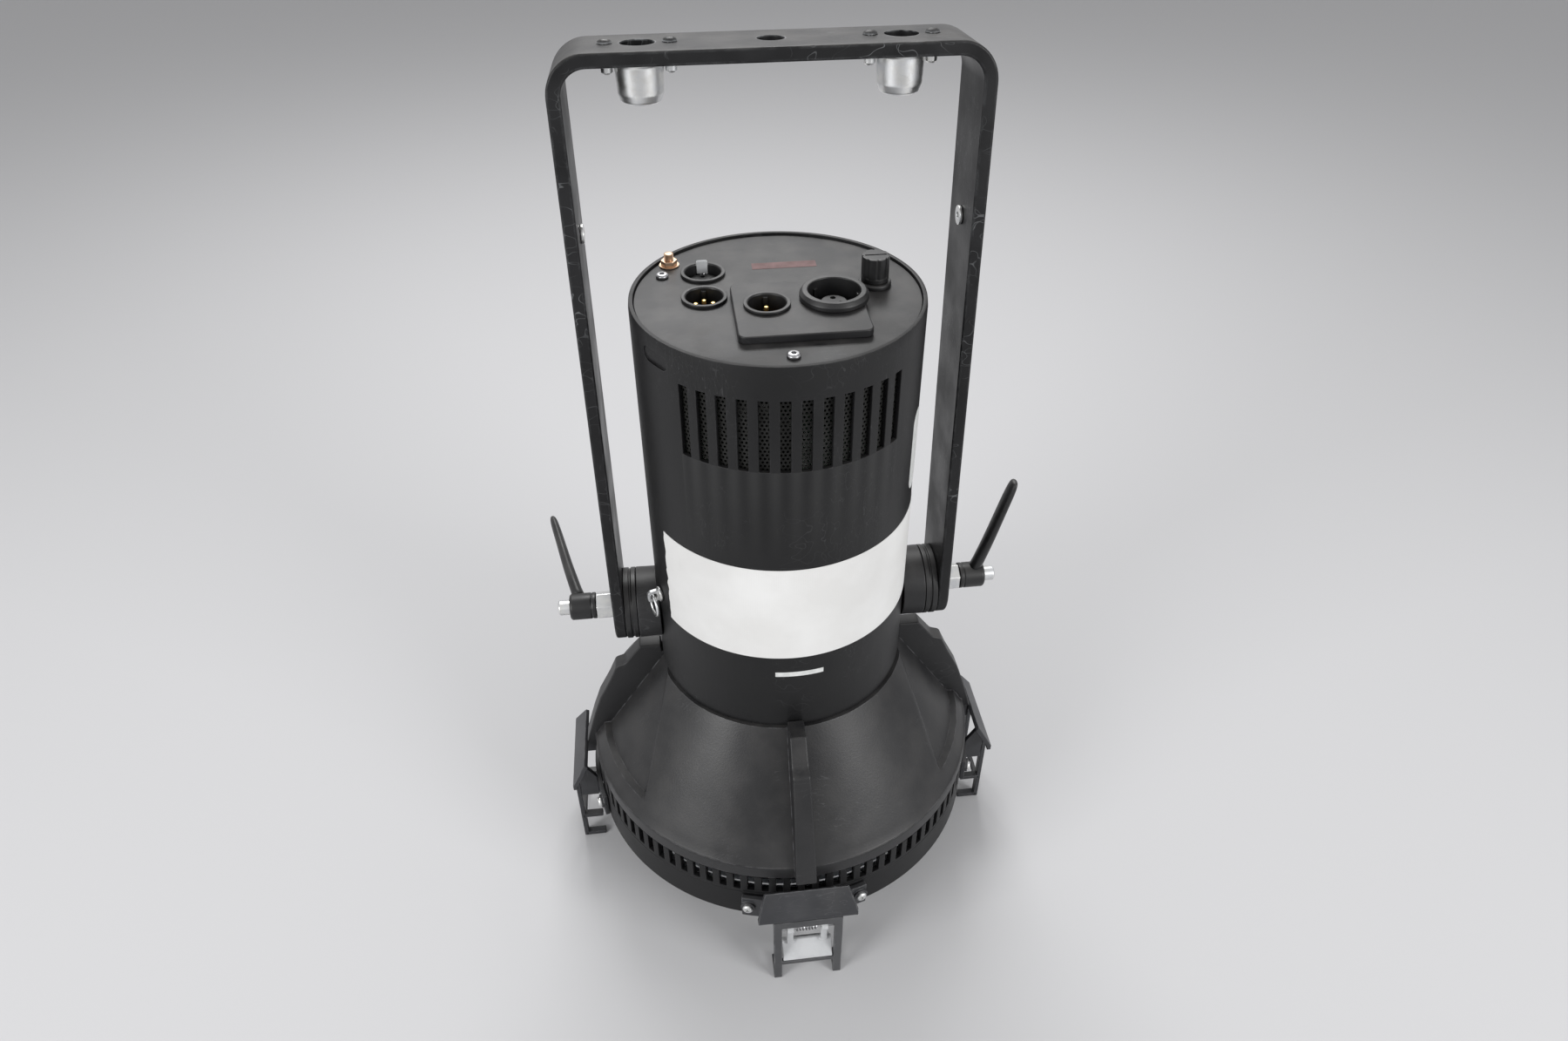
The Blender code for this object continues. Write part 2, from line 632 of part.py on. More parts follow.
def power_inlet():
    seat = PLATE_TOP + GAP
    top, floor = seat + 0.0042, seat - 0.0150
    body = turned([(0, floor - 0.002), (INLET_BARREL, floor - 0.002), (INLET_BARREL, seat), (0.0172, seat),
                   (0.0172, seat + 0.0022), (0.0158, top), (0.0130, top), (0.0130, floor),
                   (0.0065, floor), (0.0065, top - 0.0065), (0, top - 0.0065)], 24, False)
    keys = [block((-0.0012, 0.0118, floor), (0.0012, 0.0138, top - 0.004),
                  Matrix.Rotation(math.radians(turn), 4, "Z")) for turn in (40, 160, 280)]
    wells = [rod(0.0015, top - 0.0115, top - 0.004, 6, at(0.0036 * math.cos(a), 0.0036 * math.sin(a)))
             for a in map(math.radians, (90, 210, 330))]
    inlet = carved(body, added=keys, cut=wells)
    inlet.transform(at(*INLET))
    part("power_inlet", inlet, BLACK_PLASTIC)


def fuse_and_earth():
    seat = PANEL_TOP + GAP
    holder = turned([(0, 0.3740), (FUSE_BARREL, 0.3740), (FUSE_BARREL, seat), (0.0085, seat),
                     (0.0085, seat + 0.0016), (0.0078, seat + 0.0024), (0.0052, seat + 0.0024),
                     (0.0052, 0.3760), (0, 0.3760)], 20, False, at(*FUSE))
    part("fuse_holder", holder, BLACK_PLASTIC)
    part("fuse_link", rod(0.0025, 0.3763, 0.3937, 12, at(*FUSE)), GLASS)
    knob_low = seat + 0.0027
    turn_axis = axis_empty("fuse_axis", (*FUSE, knob_low))
    knob = turned([(0, -0.0075), (0.0047, -0.0075), (0.0047, 0), (0.0070, 0), (0.0070, 0.0120),
                   (0.0062, 0.0132), (0, 0.0132)], 16, False)
    grip = [block((-0.0006, 0.0062, 0.0025), (0.0006, 0.0085, 0.0150), Matrix.Rotation(TAU * i / 8, 4, "Z"))
            for i in range(8)]
    slot = block((-0.0055, -0.0006, 0.0118), (0.0055, 0.0006, 0.0150))
    part("fuse_cap", carved(knob, cut=[slot] + grip), BLACK_PLASTIC, turn_axis)

    stud = rod(0.0025, PANEL_TOP - PANEL_THICKNESS, seat + 0.0068, 10, at(*EARTH))
    nut = rod(0.0044, seat, seat + 0.0032, 6, at(*EARTH))
    part("earth_stud", carved(stud, added=[nut]), BRASS)


def release_tab():
    seat = PANEL_TOP + GAP
    slide_axis = axis_empty("release_axis", (*DATA_OUT, seat))
    outline = [(-0.0029, 0.0077), (0.0029, 0.0077), (0.0029, 0.0101), (-0.0029, 0.0101)]
    tab = extruded(outline, -0.0040, 0.0030, edge=0.0004)
    part("data_release_tab", tab, GREY_TAB, slide_axis)


# Accessory holders: each is a curved foot on the front ring, a sloping hood, cheeks and an
# outer frame that reaches the table, with lips that an accessory frame slides behind
def holder_shape(latched):
    inner = RIM_RADIUS + GAP
    angles = [math.radians(-90 - FOOT_AZIMUTH + 2 * FOOT_AZIMUTH * i / 5) for i in range(6)]
    foot = walled(angles, [(inner + 0.0030, 0.0440), (inner + 0.0030, 0.0620)],
                  [(inner, 0.0440), (inner, 0.0620)], lambda column, row: False, wraps=False)
    ear_places = [around(side * EAR_AZIMUTH) @ at(0, 0, EAR_HEIGHT) @ TO_FRONT for side in (-1, 1)]
    ears = [rod(0.0045, inner + 0.001, inner + 0.0045, 10, place) for place in ear_places]
    half, reach = HOLDER_HALF, HOLDER_REACH
    cheek = [(inner + 0.0015, 0.0440), (reach - 0.001, 0.0440), (reach - 0.001, 0.0640),
             (0.1345, 0.0750), (inner + 0.0015, 0.0620)]
    cheeks = []
    for side in (-1, 1):
        near, far = side * (half - 0.0035), side * (half - 0.0005)
        cheeks.append(lofted([[(x, -r, z) for r, z in cheek] for x in (near, far)]))
    hood_profile = [(0.1332, 0.0800), (reach, 0.0660), (reach, 0.0622), (0.1392, 0.0622), (0.1392, 0.0650),
                    (0.1310, 0.0778)]

    def hood_half(z):
        return 0.0300 + (0.0248 - 0.0300) * (z - 0.0660) / (0.0800 - 0.0660)

    hood = lofted([[(side * hood_half(max(z, 0.0660)), -r, z) for r, z in hood_profile] for side in (-1, 1)])
    front, back = -reach + 0.0002, -reach + 0.0032
    legs = []
    for side in (-1, 1):
        low_x, high_x = sorted((side * half, side * (half - 0.0050)))
        legs.append(block((low_x, front, 0.0), (high_x, back, 0.0610)))
    bars = [block((-half + 0.001, front + 0.0002, low), (half - 0.001, back - 0.0002, high))
            for low, high in ((0.0550, 0.0606), (0.0145, 0.0178))]
    lips = []
    for side in (-1, 1):
        low_x, high_x = sorted((side * (half - 0.0002), side * (half - 0.0048)))
        heights = ((0.0002, 0.0030),) if latched else ((0.0002, 0.0030), (0.0200, 0.0228))
        lips += [block((low_x, back - 0.001, low), (high_x, -0.1270, high)) for low, high in heights]
    cuts = [rod(0.0019, 0.120, 0.140, 6, place) for place in ear_places]
    if latched:
        cuts.append(rod(0.0014, -0.030, 0.030, 8, at(0, LATCH_PIN_Y, LATCH_PIN_Z) @ TO_X))
    return carved(foot, added=ears + cheeks + [hood] + legs + bars + lips, cut=cuts)


def holders():
    names = (("holder_front", 0), ("holder_right", 90), ("holder_back", 180), ("holder_left", 270))
    for name, azimuth in names:
        shape = holder_shape(latched=azimuth == 0)
        shape.transform(around(azimuth))
        part(name, shape, BLACK_COAT)


def latch():
    """The front holder's sprung latch, which swings outwards about its pin."""
    pivot = axis_empty("latch_axis", (0, LATCH_PIN_Y, LATCH_PIN_Z))
    y, z = LATCH_PIN_Y, LATCH_PIN_Z
    pin = rod(0.0010, -0.0207, 0.0207, 8, at(0, y, z) @ TO_X)
    part("latch_pin", pin, STEEL)
    thumb = [(-0.1352, 0.0310), (-0.1417, 0.0200), (-0.1417, 0.0188), (-0.1375, 0.0188), (-0.1275, 0.0200),
             (-0.1275, 0.0225), (-0.1335, 0.0235), (-0.1335, 0.0310)]
    thumb_block = lofted([[(x, py - y, pz - z) for py, pz in thumb] for x in (-0.0152, 0.0152)])
    arms = []
    for near, far in ((-0.0125, -0.0085), (0.0085, 0.0125)):
        arms.append(block((near, -0.1372 - y, 0.0300 - z), (far, -0.1345 - y, 0.0470 - z)))
        arms.append(rod(0.0029, near, far, 10, TO_X))
    bore = rod(0.0014, -0.030, 0.030, 8, TO_X)
    part("accessory_latch", carved(thumb_block, added=arms, cut=[bore]), GREY_TAB, pivot)


# Pivots: a boss on the tube, a friction disc, the yoke's arm and the clamp lever
def pivots():
    for name, turn in (("right", 0), ("left", math.pi)):
        side = Matrix.Rotation(turn, 4, "Z") @ at(0, 0, PIVOT_HEIGHT)
        boss = rod(PIVOT_DISC, 0.060, 0.0870, 32, TO_X)
        tube = rod(TUBE_RADIUS + GAP, -0.05, 0.05, 108)
        bore = rod(PIVOT_BOLT + 0.0005, 0.0775, 0.0900, 12, TO_X)
        shape = carved(boss, cut=[tube, bore])
        shape.transform(side)
        part("pivot_boss_" + name, shape, BLACK_COAT)
        disc = ring(PIVOT_BOLT + 0.0005, PIVOT_DISC, 0.0873, 0.0946, 28, side @ TO_X)
        part("friction_disc_" + name, disc, BLACK_PLASTIC)


def clamps():
    for name, turn, angle in (("right", 0, LEVER_ANGLE_RIGHT), ("left", math.pi, LEVER_ANGLE_LEFT)):
        pivot = axis_empty("clamp_axis_" + name, (0, 0, PIVOT_HEIGHT), (0, 0, turn))
        collar_low = YOKE_HALF + GAP
        stud = rod(PIVOT_BOLT, 0.0785, 0.1236, 12, TO_X)
        collar = rod(0.0085, collar_low, 0.1120, 6, TO_X)
        tapped = rod(0.0029, 0.1120, 0.1300, 8, TO_X)
        part("clamp_stud_" + name, carved(stud, added=[collar], cut=[tapped]), ZINC, pivot)

        hub = turned([(0, 0.1123), (0.0080, 0.1123), (0.0080, 0.1272), (0.0072, 0.1280), (0, 0.1280)],
                     16, False, TO_X)
        sections = []
        for z, x, half_y, half_x in ((0.0066, 0.1230, 0.0042, 0.0036), (0.0140, 0.1252, 0.0047, 0.0036),
                                     (0.0400, 0.1322, 0.0042, 0.0028), (0.0680, 0.1398, 0.0036, 0.0022),
                                     (0.0712, 0.1407, 0.0022, 0.0012)):
            sections.append([(x + half_x * math.cos(a), half_y * math.sin(a), z)
                             for a in (TAU * i / 8 for i in range(8))])
        handle = lofted(sections)
        bore = turned([(0, 0.1100), (PIVOT_BOLT + 0.0005, 0.1100), (PIVOT_BOLT + 0.0005, 0.1205),
                       (0.0053, 0.1205), (0.0053, 0.1350), (0, 0.1350)], 16, False, TO_X)
        lever = carved(hub, added=[handle], cut=[bore])
        lever.transform(Matrix.Rotation(angle, 4, "X"))
        part("clamp_lever_" + name, lever, BLACK_PLASTIC, pivot)

        head = turned([(0, 0.1150), (0.0025, 0.1150), (0.0025, 0.1239), (0.0046, 0.1239), (0.0046, 0.1340),
                       (0.0038, 0.1350), (0, 0.1350)], 14, False, TO_X)
        key = rod(0.0022, 0.1325, 0.1360, 6, TO_X)
        part("lever_screw_" + name, carved(head, cut=[key]), ZINC, pivot)


# Yoke: one bent flat bar with the quarter-turn receptacles riveted under its crossbar
def yoke():
    lean = axis_empty("yoke_axis", (0, 0, PIVOT_HEIGHT), (-YOKE_LEAN, 0, 0))
    middle_x = YOKE_HALF - YOKE_THICKNESS / 2
    middle_z = YOKE_HEIGHT - YOKE_THICKNESS / 2
    half_bar = YOKE_BAR / 2
    stations = []
    for i in range(7):
        angle = math.radians(84 - 14 * i)
        stations.append((middle_x, -half_bar * math.sin(angle), 1.0, 0.0, half_bar * math.cos(angle)))
    for i in range(9):
        angle = math.pi / 2 * i / 8
        x = middle_x - YOKE_BEND + YOKE_BEND * math.cos(angle)
        z = middle_z - YOKE_BEND + YOKE_BEND * math.sin(angle)
        stations.append((x, z, math.cos(angle), math.sin(angle), half_bar))
    stations += [(-x, z, -nx, nz, half) for x, z, nx, nz, half in reversed(stations)]
    sections = []
    for x, z, nx, nz, half in stations:
        out = YOKE_THICKNESS / 2
        sections.append([(x + nx * out, -half, z + nz * out), (x + nx * out, half, z + nz * out),
                         (x - nx * out, half, z - nz * out), (x - nx * out, -half, z - nz * out)])
    low, high = YOKE_HEIGHT - 0.010, YOKE_HEIGHT + 0.004
    cuts = [rod(PIVOT_BOLT + 0.0005, -0.110, 0.110, 12, TO_X), rod(CLAMP_HOLE, low, high, 16)]
    for x in (-RECEPTACLE_X, RECEPTACLE_X):
        cuts.append(rod(0.0080, low, high, 16, at(x, 0)))
        cuts += [rod(0.0023, low, high, 8, at(x + end * RIVET_SPREAD, 0)) for end in (-1, 1)]
    cuts.append(rod(0.0035, -0.110, 0.110, 8, at(0, 0, INSERT_HEIGHT) @ TO_X))
    part("yoke", carved(lofted(sections), cut=cuts), BLACK_COAT, lean)

    underside = YOKE_HEIGHT - YOKE_THICKNESS - GAP
    for name, side, turn in (("left", -1, math.pi), ("right", 1, 0)):
        part("receptacle_" + name, receptacle(side * RECEPTACLE_X, underside), ZINC, lean)
        insert = turned([(0.0016, 0.0932), (0.0048, 0.0932), (0.0048, 0.0946), (0.0031, 0.0946),
                         (0.0031, 0.1012), (0.0016, 0.1012)], 10, True,
                        Matrix.Rotation(turn, 4, "Z") @ at(0, 0, INSERT_HEIGHT) @ TO_X)
        part("yoke_insert_" + name, insert, ZINC, lean)


def receptacle(x, top):
    """A quarter-turn receptacle: an oval flange with a deep cup below it and its two rivets."""
    outline = []
    for radius, centre, start, end in ((0.0050, RIVET_SPREAD, -60, 60), (0.0125, 0.0, 65, 115),
                                       (0.0050, -RIVET_SPREAD, 120, 240), (0.0125, 0.0, 245, 295)):
        for i in range(4):
            angle = math.radians(start + (end - start) * i / 3)
            outline.append((centre + radius * math.cos(angle), radius * math.sin(angle)))
    flange = extruded(outline, top - 0.0015, top)
    cup = turned([(0, top - 0.0190), (0.0085, top - 0.0190), (0.0108, top - 0.0165),
                  (0.0112, top - 0.0010), (0, top - 0.0010)], 18, False)
    bore = rod(0.0085, top - 0.0165, top + 0.002, 16)
    rivets = [rivet(end * RIVET_SPREAD, top - 0.0013) for end in (-1, 1)]
    shape = carved(flange, added=[cup] + rivets, cut=[bore])
    shape.transform(at(x, 0))
    return shape


def rivet(x, low):
    high = YOKE_HEIGHT + GAP
    return turned([(0, low - 0.0018), (0.0020, low - 0.0016), (0.0034, low - 0.0006), (0.0034, low),
                   (0.0020, low), (0.0020, high), (0.0034, high), (0.0034, high + 0.0005),
                   (0.0020, high + 0.0014), (0, high + 0.0016)], 7, False, at(x, 0))


# Lug on the tube and the wire ring that hangs in it, for a safety cable
def safety_point():
    place = around(LUG_AZIMUTH) @ at(0, 0, LUG_HEIGHT)
    tab = block((-0.0010, -0.0835, -0.0040), (0.0010, -TUBE_RADIUS - 0.0008, 0.0040))
    shank = rod(0.0024, 0.0700, TUBE_RADIUS + 0.0015, 8, TO_FRONT)
    collar = rod(0.0045, TUBE_RADIUS + 0.0004, TUBE_RADIUS + 0.0020, 12, TO_FRONT)
    bore = rod(LUG_BORE, -0.010, 0.010, 10, at(0, -LUG_REACH, 0) @ TO_X)
    lug = carved(tab, added=[shank, collar], cut=[bore])
    lug.transform(place)
    part("safety_lug", lug, ZINC)

    wire_drop = LUG_BORE - RING_MINOR - GAP
    hang = place @ at(0, -LUG_REACH, -wire_drop)
    pivot = axis_empty("ring_axis", hang.translation, (0, 0, math.radians(LUG_AZIMUTH)))
    circle = [(RING_MAJOR + RING_MINOR * math.cos(a), RING_MINOR * math.sin(a))
              for a in (TAU * i / 6 for i in range(6))]
    loop = turned(circle, 18, True, at(0, 0, -RING_MAJOR) @ TO_FRONT)
    part("safety_ring", loop, ZINC, pivot)


def main():
    housing_tube()
    cone_housing()
    vent_comb()
    front_ring()
    light_path()
    cooling()
    driver()
    vent_screens()
    rear_panel()
    connector_plate()
    sockets()
    power_inlet()
    fuse_and_earth()
    release_tab()
    holders()
    latch()
    pivots()
    clamps()
    yoke()
    safety_point()
    bpy.context.view_layer.update()


main()
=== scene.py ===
import math

import bmesh
import bpy
from mathutils import Matrix, Vector, noise


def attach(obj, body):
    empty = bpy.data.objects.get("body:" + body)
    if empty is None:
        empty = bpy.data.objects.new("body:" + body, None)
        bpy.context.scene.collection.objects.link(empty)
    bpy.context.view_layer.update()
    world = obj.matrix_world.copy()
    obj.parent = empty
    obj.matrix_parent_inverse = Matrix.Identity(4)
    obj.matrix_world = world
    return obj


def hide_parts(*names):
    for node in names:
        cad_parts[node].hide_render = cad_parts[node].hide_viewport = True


# LED theatre spotlight standing on its accessory holders, lens down.
# Metres, +Z up, the front (-Y) is the side with the accessory latch.
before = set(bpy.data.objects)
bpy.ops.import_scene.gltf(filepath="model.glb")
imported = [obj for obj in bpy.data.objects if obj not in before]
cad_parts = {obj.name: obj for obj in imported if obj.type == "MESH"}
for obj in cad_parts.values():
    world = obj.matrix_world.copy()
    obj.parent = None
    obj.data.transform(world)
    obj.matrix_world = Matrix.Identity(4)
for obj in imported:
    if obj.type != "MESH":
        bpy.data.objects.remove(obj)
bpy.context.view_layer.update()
print("frame loaded,", len(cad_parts), "nodes")

fullTurn = 2 * math.pi
toSide = Matrix.Rotation(math.pi / 2, 4, "Y")     # a turned shape's axis goes to +X
toFront = Matrix.Rotation(math.pi / 2, 4, "X")    # and here to -Y


def shifted(x, y, z=0.0):
    return Matrix.Translation((x, y, z))


def around(degrees):
    return Matrix.Rotation(math.radians(degrees), 4, "Z")    # 0 is the front, 90 the right


# Node helpers, for shaders and for Geometry Nodes alike
class Signal:
    # An output socket that can stand in a sum; each step of the sum adds a math node
    def __init__(self, tree, socket):
        self.tree, self.socket = tree, socket

    def calc(self, operation, *others, clamped=False):
        values = dict(enumerate((self, *others)))
        return signal(self.tree, "ShaderNodeMath", values, operation=operation, use_clamp=clamped)

    def __add__(self, other):
        return self.calc("ADD", other)

    def __sub__(self, other):
        return self.calc("SUBTRACT", other)

    def __mul__(self, other):
        return self.calc("MULTIPLY", other)

    def __truediv__(self, other):
        return self.calc("DIVIDE", other)

    def ranged(self, low, high, toLow=0.0, toHigh=1.0):
        values = {"Value": self, "From Min": low, "From Max": high, "To Min": toLow, "To Max": toHigh}
        return signal(self.tree, "ShaderNodeMapRange", values)

    def cloud(self, scale, detail):
        return signal(self.tree, "ShaderNodeTexNoise", {"Vector": self, "Scale": scale, "Detail": detail})

    def mixed(self, first, second):
        # Two colours, the second where this signal is 1
        first, second = ((*item, 1.0) if isinstance(item, tuple) else item for item in (first, second))
        return signal(self.tree, "ShaderNodeMix", {0: self, 6: first, 7: second}, 2, data_type="RGBA")

    def split(self):
        return signals(self.tree, "ShaderNodeSeparateXYZ", {0: self})


def feed(value, slot):
    if isinstance(value, Signal):
        value.tree.links.new(value.socket, slot)
    else:
        slot.default_value = value


def addNode(tree, kind, values, **settings):
    node = tree.nodes.new(kind)
    for key, value in settings.items():
        setattr(node, key, value)
    for key, value in (values or {}).items():
        feed(value, node.inputs[key])
    return node


def signal(tree, kind, values=None, output=0, **settings):
    return Signal(tree, addNode(tree, kind, values, **settings).outputs[output])


def signals(tree, kind, values, **settings):
    return [Signal(tree, socket) for socket in addNode(tree, kind, values, **settings).outputs]


def newGroup(kind, name, inputs, results):
    # Inputs are named with a default number or a socket type, results with a socket type
    tree = bpy.data.node_groups.new(name, kind)
    for label, value in inputs.items():
        number = "NodeSocketInt" if isinstance(value, int) else "NodeSocketFloat"
        socketKind = value if isinstance(value, str) else number
        socket = tree.interface.new_socket(label, in_out="INPUT", socket_type=socketKind)
        if socketKind == number:
            socket.default_value = value
    for label, socketKind in results.items():
        tree.interface.new_socket(label, in_out="OUTPUT", socket_type=socketKind)
    sockets = tree.nodes.new("NodeGroupInput").outputs
    given = {label: Signal(tree, sockets[label]) for label in inputs}
    return tree, given, tree.nodes.new("NodeGroupOutput").inputs


# Shape makers
def circlePoints(radius, steps, middle=0.0):
    # A round outline, its middle that far along the first axis
    turns = [fullTurn * i / steps for i in range(steps)]
    return [(middle + radius * math.cos(turn), radius * math.sin(turn)) for turn in turns]


def softCorners(points, reach, steps=3, ring=True):
    # Each corner of a flat outline becomes a short curve; straight spots stay as they are
    soft = []
    count = len(points)
    for i, point in enumerate(points):
        here = Vector(point)
        if not ring and i in (0, count - 1):
            soft.append(tuple(here))
            continue
        before, after = Vector(points[i - 1]) - here, Vector(points[(i + 1) % count]) - here
        if before.length < 1e-7 or after.length < 1e-7 or abs(before.angle(after) - math.pi) < 0.14:
            soft.append(tuple(here))
            continue
        cut = min(reach, 0.45 * before.length, 0.45 * after.length)
        start, end = here + before.normalized() * cut, here + after.normalized() * cut
        for k in range(steps + 1):
            t = k / steps
            soft.append(tuple(start.lerp(here, t).lerp(here.lerp(end, t), t)))
    return soft


def turnedShape(profile, steps=96, matrix=Matrix(), ring=False, reach=0.0):
    # Spins (radius, height) points about Z; a ring's profile closes, the others end on the axis
    if reach:
        profile = softCorners(profile, reach, 3, ring)
    shape = bmesh.new()
    points = [shape.verts.new((radius, 0, height)) for radius, height in profile]
    edges = [shape.edges.new(pair) for pair in zip(points, points[1:])]
    if ring:
        edges.append(shape.edges.new((points[-1], points[0])))
    bmesh.ops.spin(shape, geom=points + edges, axis=(0, 0, 1), cent=(0, 0, 0), angle=fullTurn, steps=steps,
        use_merge=True)
    bmesh.ops.remove_doubles(shape, verts=shape.verts, dist=1e-6)
    bmesh.ops.recalc_face_normals(shape, faces=shape.faces)
    shape.transform(matrix)
    return shape


def rodShape(radius, low, high, steps=32, matrix=Matrix(), reach=0.0):
    return turnedShape([(0, low), (radius, low), (radius, high), (0, high)], steps, matrix, False, reach)


def tubeShape(inner, outer, low, high, steps=32, matrix=Matrix(), reach=0.0):
    return turnedShape([(inner, low), (outer, low), (outer, high), (inner, high)], steps, matrix, True, reach)


def plateShape(outline, low, high, matrix=Matrix()):
    shape = bmesh.new()
    face = shape.faces.new([shape.verts.new((x, y, low)) for x, y in outline])
    extruded = bmesh.ops.extrude_face_region(shape, geom=[face])["geom"]
    top = [item for item in extruded if isinstance(item, bmesh.types.BMVert)]
    bmesh.ops.translate(shape, verts=top, vec=(0, 0, high - low))
    bmesh.ops.recalc_face_normals(shape, faces=shape.faces)
    shape.transform(matrix)
    return shape


def boxShape(low, high, matrix=Matrix()):
    outline = [(low[0], low[1]), (high[0], low[1]), (high[0], high[1]), (low[0], high[1])]
    return plateShape(outline, low[2], high[2], matrix)


def loftShape(sections):
    shape = bmesh.new()
    rings = [[shape.verts.new(point) for point in section] for section in sections]
    count = len(rings[0])
    for lower, upper in zip(rings, rings[1:]):
        for i in range(count):
            j = (i + 1) % count
            shape.faces.new((lower[i], lower[j], upper[j], upper[i]))
    shape.faces.new(rings[0])
    shape.faces.new(rings[-1])
    bmesh.ops.recalc_face_normals(shape, faces=shape.faces)
    return shape


def wallShape(degrees, outer, inner, isOpen=None, wraps=True):
    # A wall about Z in columns between the angles and rows between the levels; open cells are slots
    shape = bmesh.new()
    angles = [math.radians(value) for value in degrees]
    skins = []
    for levels in (outer, inner):
        skins.append([[shape.verts.new((r * math.cos(a), r * math.sin(a), z)) for a in angles] for r, z in levels])
    outside, inside = skins
    columns = len(angles) if wraps else len(angles) - 1
    rows = len(outer) - 1

    def filled(column, row):
        if not 0 <= row < rows or not (wraps or 0 <= column < columns):
            return False
        return isOpen is None or not isOpen(column % columns, row)

    for i in range(columns):
        j = (i + 1) % len(angles)
        for k in range(rows):
            if not filled(i, k):
                continue
            shape.faces.new((outside[k][i], outside[k][j], outside[k + 1][j], outside[k + 1][i]))
            shape.faces.new((inside[k][j], inside[k][i], inside[k + 1][i], inside[k + 1][j]))
            if not filled(i, k - 1):
                shape.faces.new((outside[k][j], outside[k][i], inside[k][i], inside[k][j]))
            if not filled(i, k + 1):
                shape.faces.new((outside[k + 1][i], outside[k + 1][j], inside[k + 1][j], inside[k + 1][i]))
            if not filled(i - 1, k):
                shape.faces.new((outside[k][i], outside[k + 1][i], inside[k + 1][i], inside[k][i]))
            if not filled(i + 1, k):
                shape.faces.new((outside[k + 1][j], outside[k][j], inside[k][j], inside[k + 1][j]))
    loose = [vert for vert in shape.verts if not vert.link_faces]
    bmesh.ops.delete(shape, geom=loose, context="VERTS")
    bmesh.ops.recalc_face_normals(shape, faces=shape.faces)
    return shape


def stepObject(shape):
    mesh = bpy.data.meshes.new("step")
    shape.to_mesh(mesh)
    shape.free()
    item = bpy.data.objects.new("step", mesh)
    bpy.context.scene.collection.objects.link(item)
    return item


def dropped(item):
    mesh = item.data
    bpy.data.objects.remove(item, do_unlink=True)
    bpy.data.meshes.remove(mesh)


def plainResult(item):
    # The evaluated object as a plain mesh, with the live modifiers gone
    evaluated = item.evaluated_get(bpy.context.evaluated_depsgraph_get())
    mesh = bpy.data.meshes.new_from_object(evaluated)
    shape = bmesh.new()
    shape.from_mesh(mesh)
    bpy.data.meshes.remove(mesh)
    dropped(item)
    return shape


def joined(*shapes):
    whole = bmesh.new()
    for shape in shapes:
        item = stepObject(shape)
        whole.from_mesh(item.data)
        dropped(item)
    return whole


def carved(base, cuts):
    body = stepObject(base)
    cutters = [stepObject(shape) for shape in cuts]
    for cutter in cutters:
        modifier = body.modifiers.new("carve", "BOOLEAN")
        modifier.operation = "DIFFERENCE"
        modifier.solver = "EXACT"
        modifier.object = cutter
    result = plainResult(body)
    for cutter in cutters:
        dropped(cutter)
    bmesh.ops.remove_doubles(result, verts=result.verts, dist=2e-6)
    bmesh.ops.dissolve_degenerate(result, edges=result.edges, dist=2e-6)
    return result


def addBevel(item, width, segments=2, degrees=35):
    modifier = item.modifiers.new("edges", "BEVEL")
    modifier.width = width
    modifier.segments = segments
    modifier.limit_method = "ANGLE"
    modifier.angle_limit = math.radians(degrees)
    modifier.use_clamp_overlap = False


def eased(shape, width, segments=2, degrees=35):
    item = stepObject(shape)
    addBevel(item, width, segments, degrees)
    return plainResult(item)


def newPiece(name, shape, look, *nodes, body="head", edge=0.0, sharp=38):
    finish = finishes[look]
    mesh = bpy.data.meshes.new(name)
    shape.to_mesh(mesh)
    shape.free()
    mesh.shade_smooth()
    mesh.materials.clear()
    mesh.materials.append(finish)
    item = bpy.data.objects.new(name, mesh)
    bpy.context.scene.collection.objects.link(item)
    if edge:
        addBevel(item, edge)
    else:
        mesh.set_sharp_from_angle(angle=math.radians(sharp))
    weighted = item.modifiers.new("shading", "WEIGHTED_NORMAL")
    weighted.keep_sharp = True
    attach(item, body)
    if nodes:
        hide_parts(*nodes)
    return item


# Camera and stage
camera = {"spot": (-0.0548, -0.4851, 0.641), "aim": (0.0922, 0.7780, -0.6215), "roll": -0.17, "lens": 24.4}
stage = {"size": 12.0, "floor": (0.62, 0.62, 0.63), "sky": (0.90, 0.90, 0.91), "skyLight": 0.45, "skySeen": 0.80}
lamps = [
    {"spot": (-1.40, -0.94, 0.86), "aim": (0, 0, 0.25), "size": 0.7, "power": 15.5},
    {"spot": (1.18, -1.15, 0.86), "aim": (0, 0, 0.25), "size": 0.7, "power": 14.5},
    {"spot": (0.0, 0.95, 1.45), "aim": (0, 0, 0.3), "size": 0.7, "power": 13.5},
]


def aimed(spot, aim):
    turn = Vector(aim).to_track_quat("-Z", "Y").to_matrix().to_4x4()
    return Matrix.Translation(spot) @ turn


def placeCamera():
    item = bpy.data.objects.new("camera", bpy.data.cameras.new("camera"))
    bpy.context.scene.collection.objects.link(item)
    item.data.sensor_fit = "HORIZONTAL"
    item.data.sensor_width = 36
    item.data.lens = camera["lens"]
    item.data.clip_start = 0.01
    roll = Matrix.Rotation(math.radians(camera["roll"]), 4, "Z")
    item.matrix_world = aimed(camera["spot"], camera["aim"]) @ roll
    bpy.context.scene.camera = item


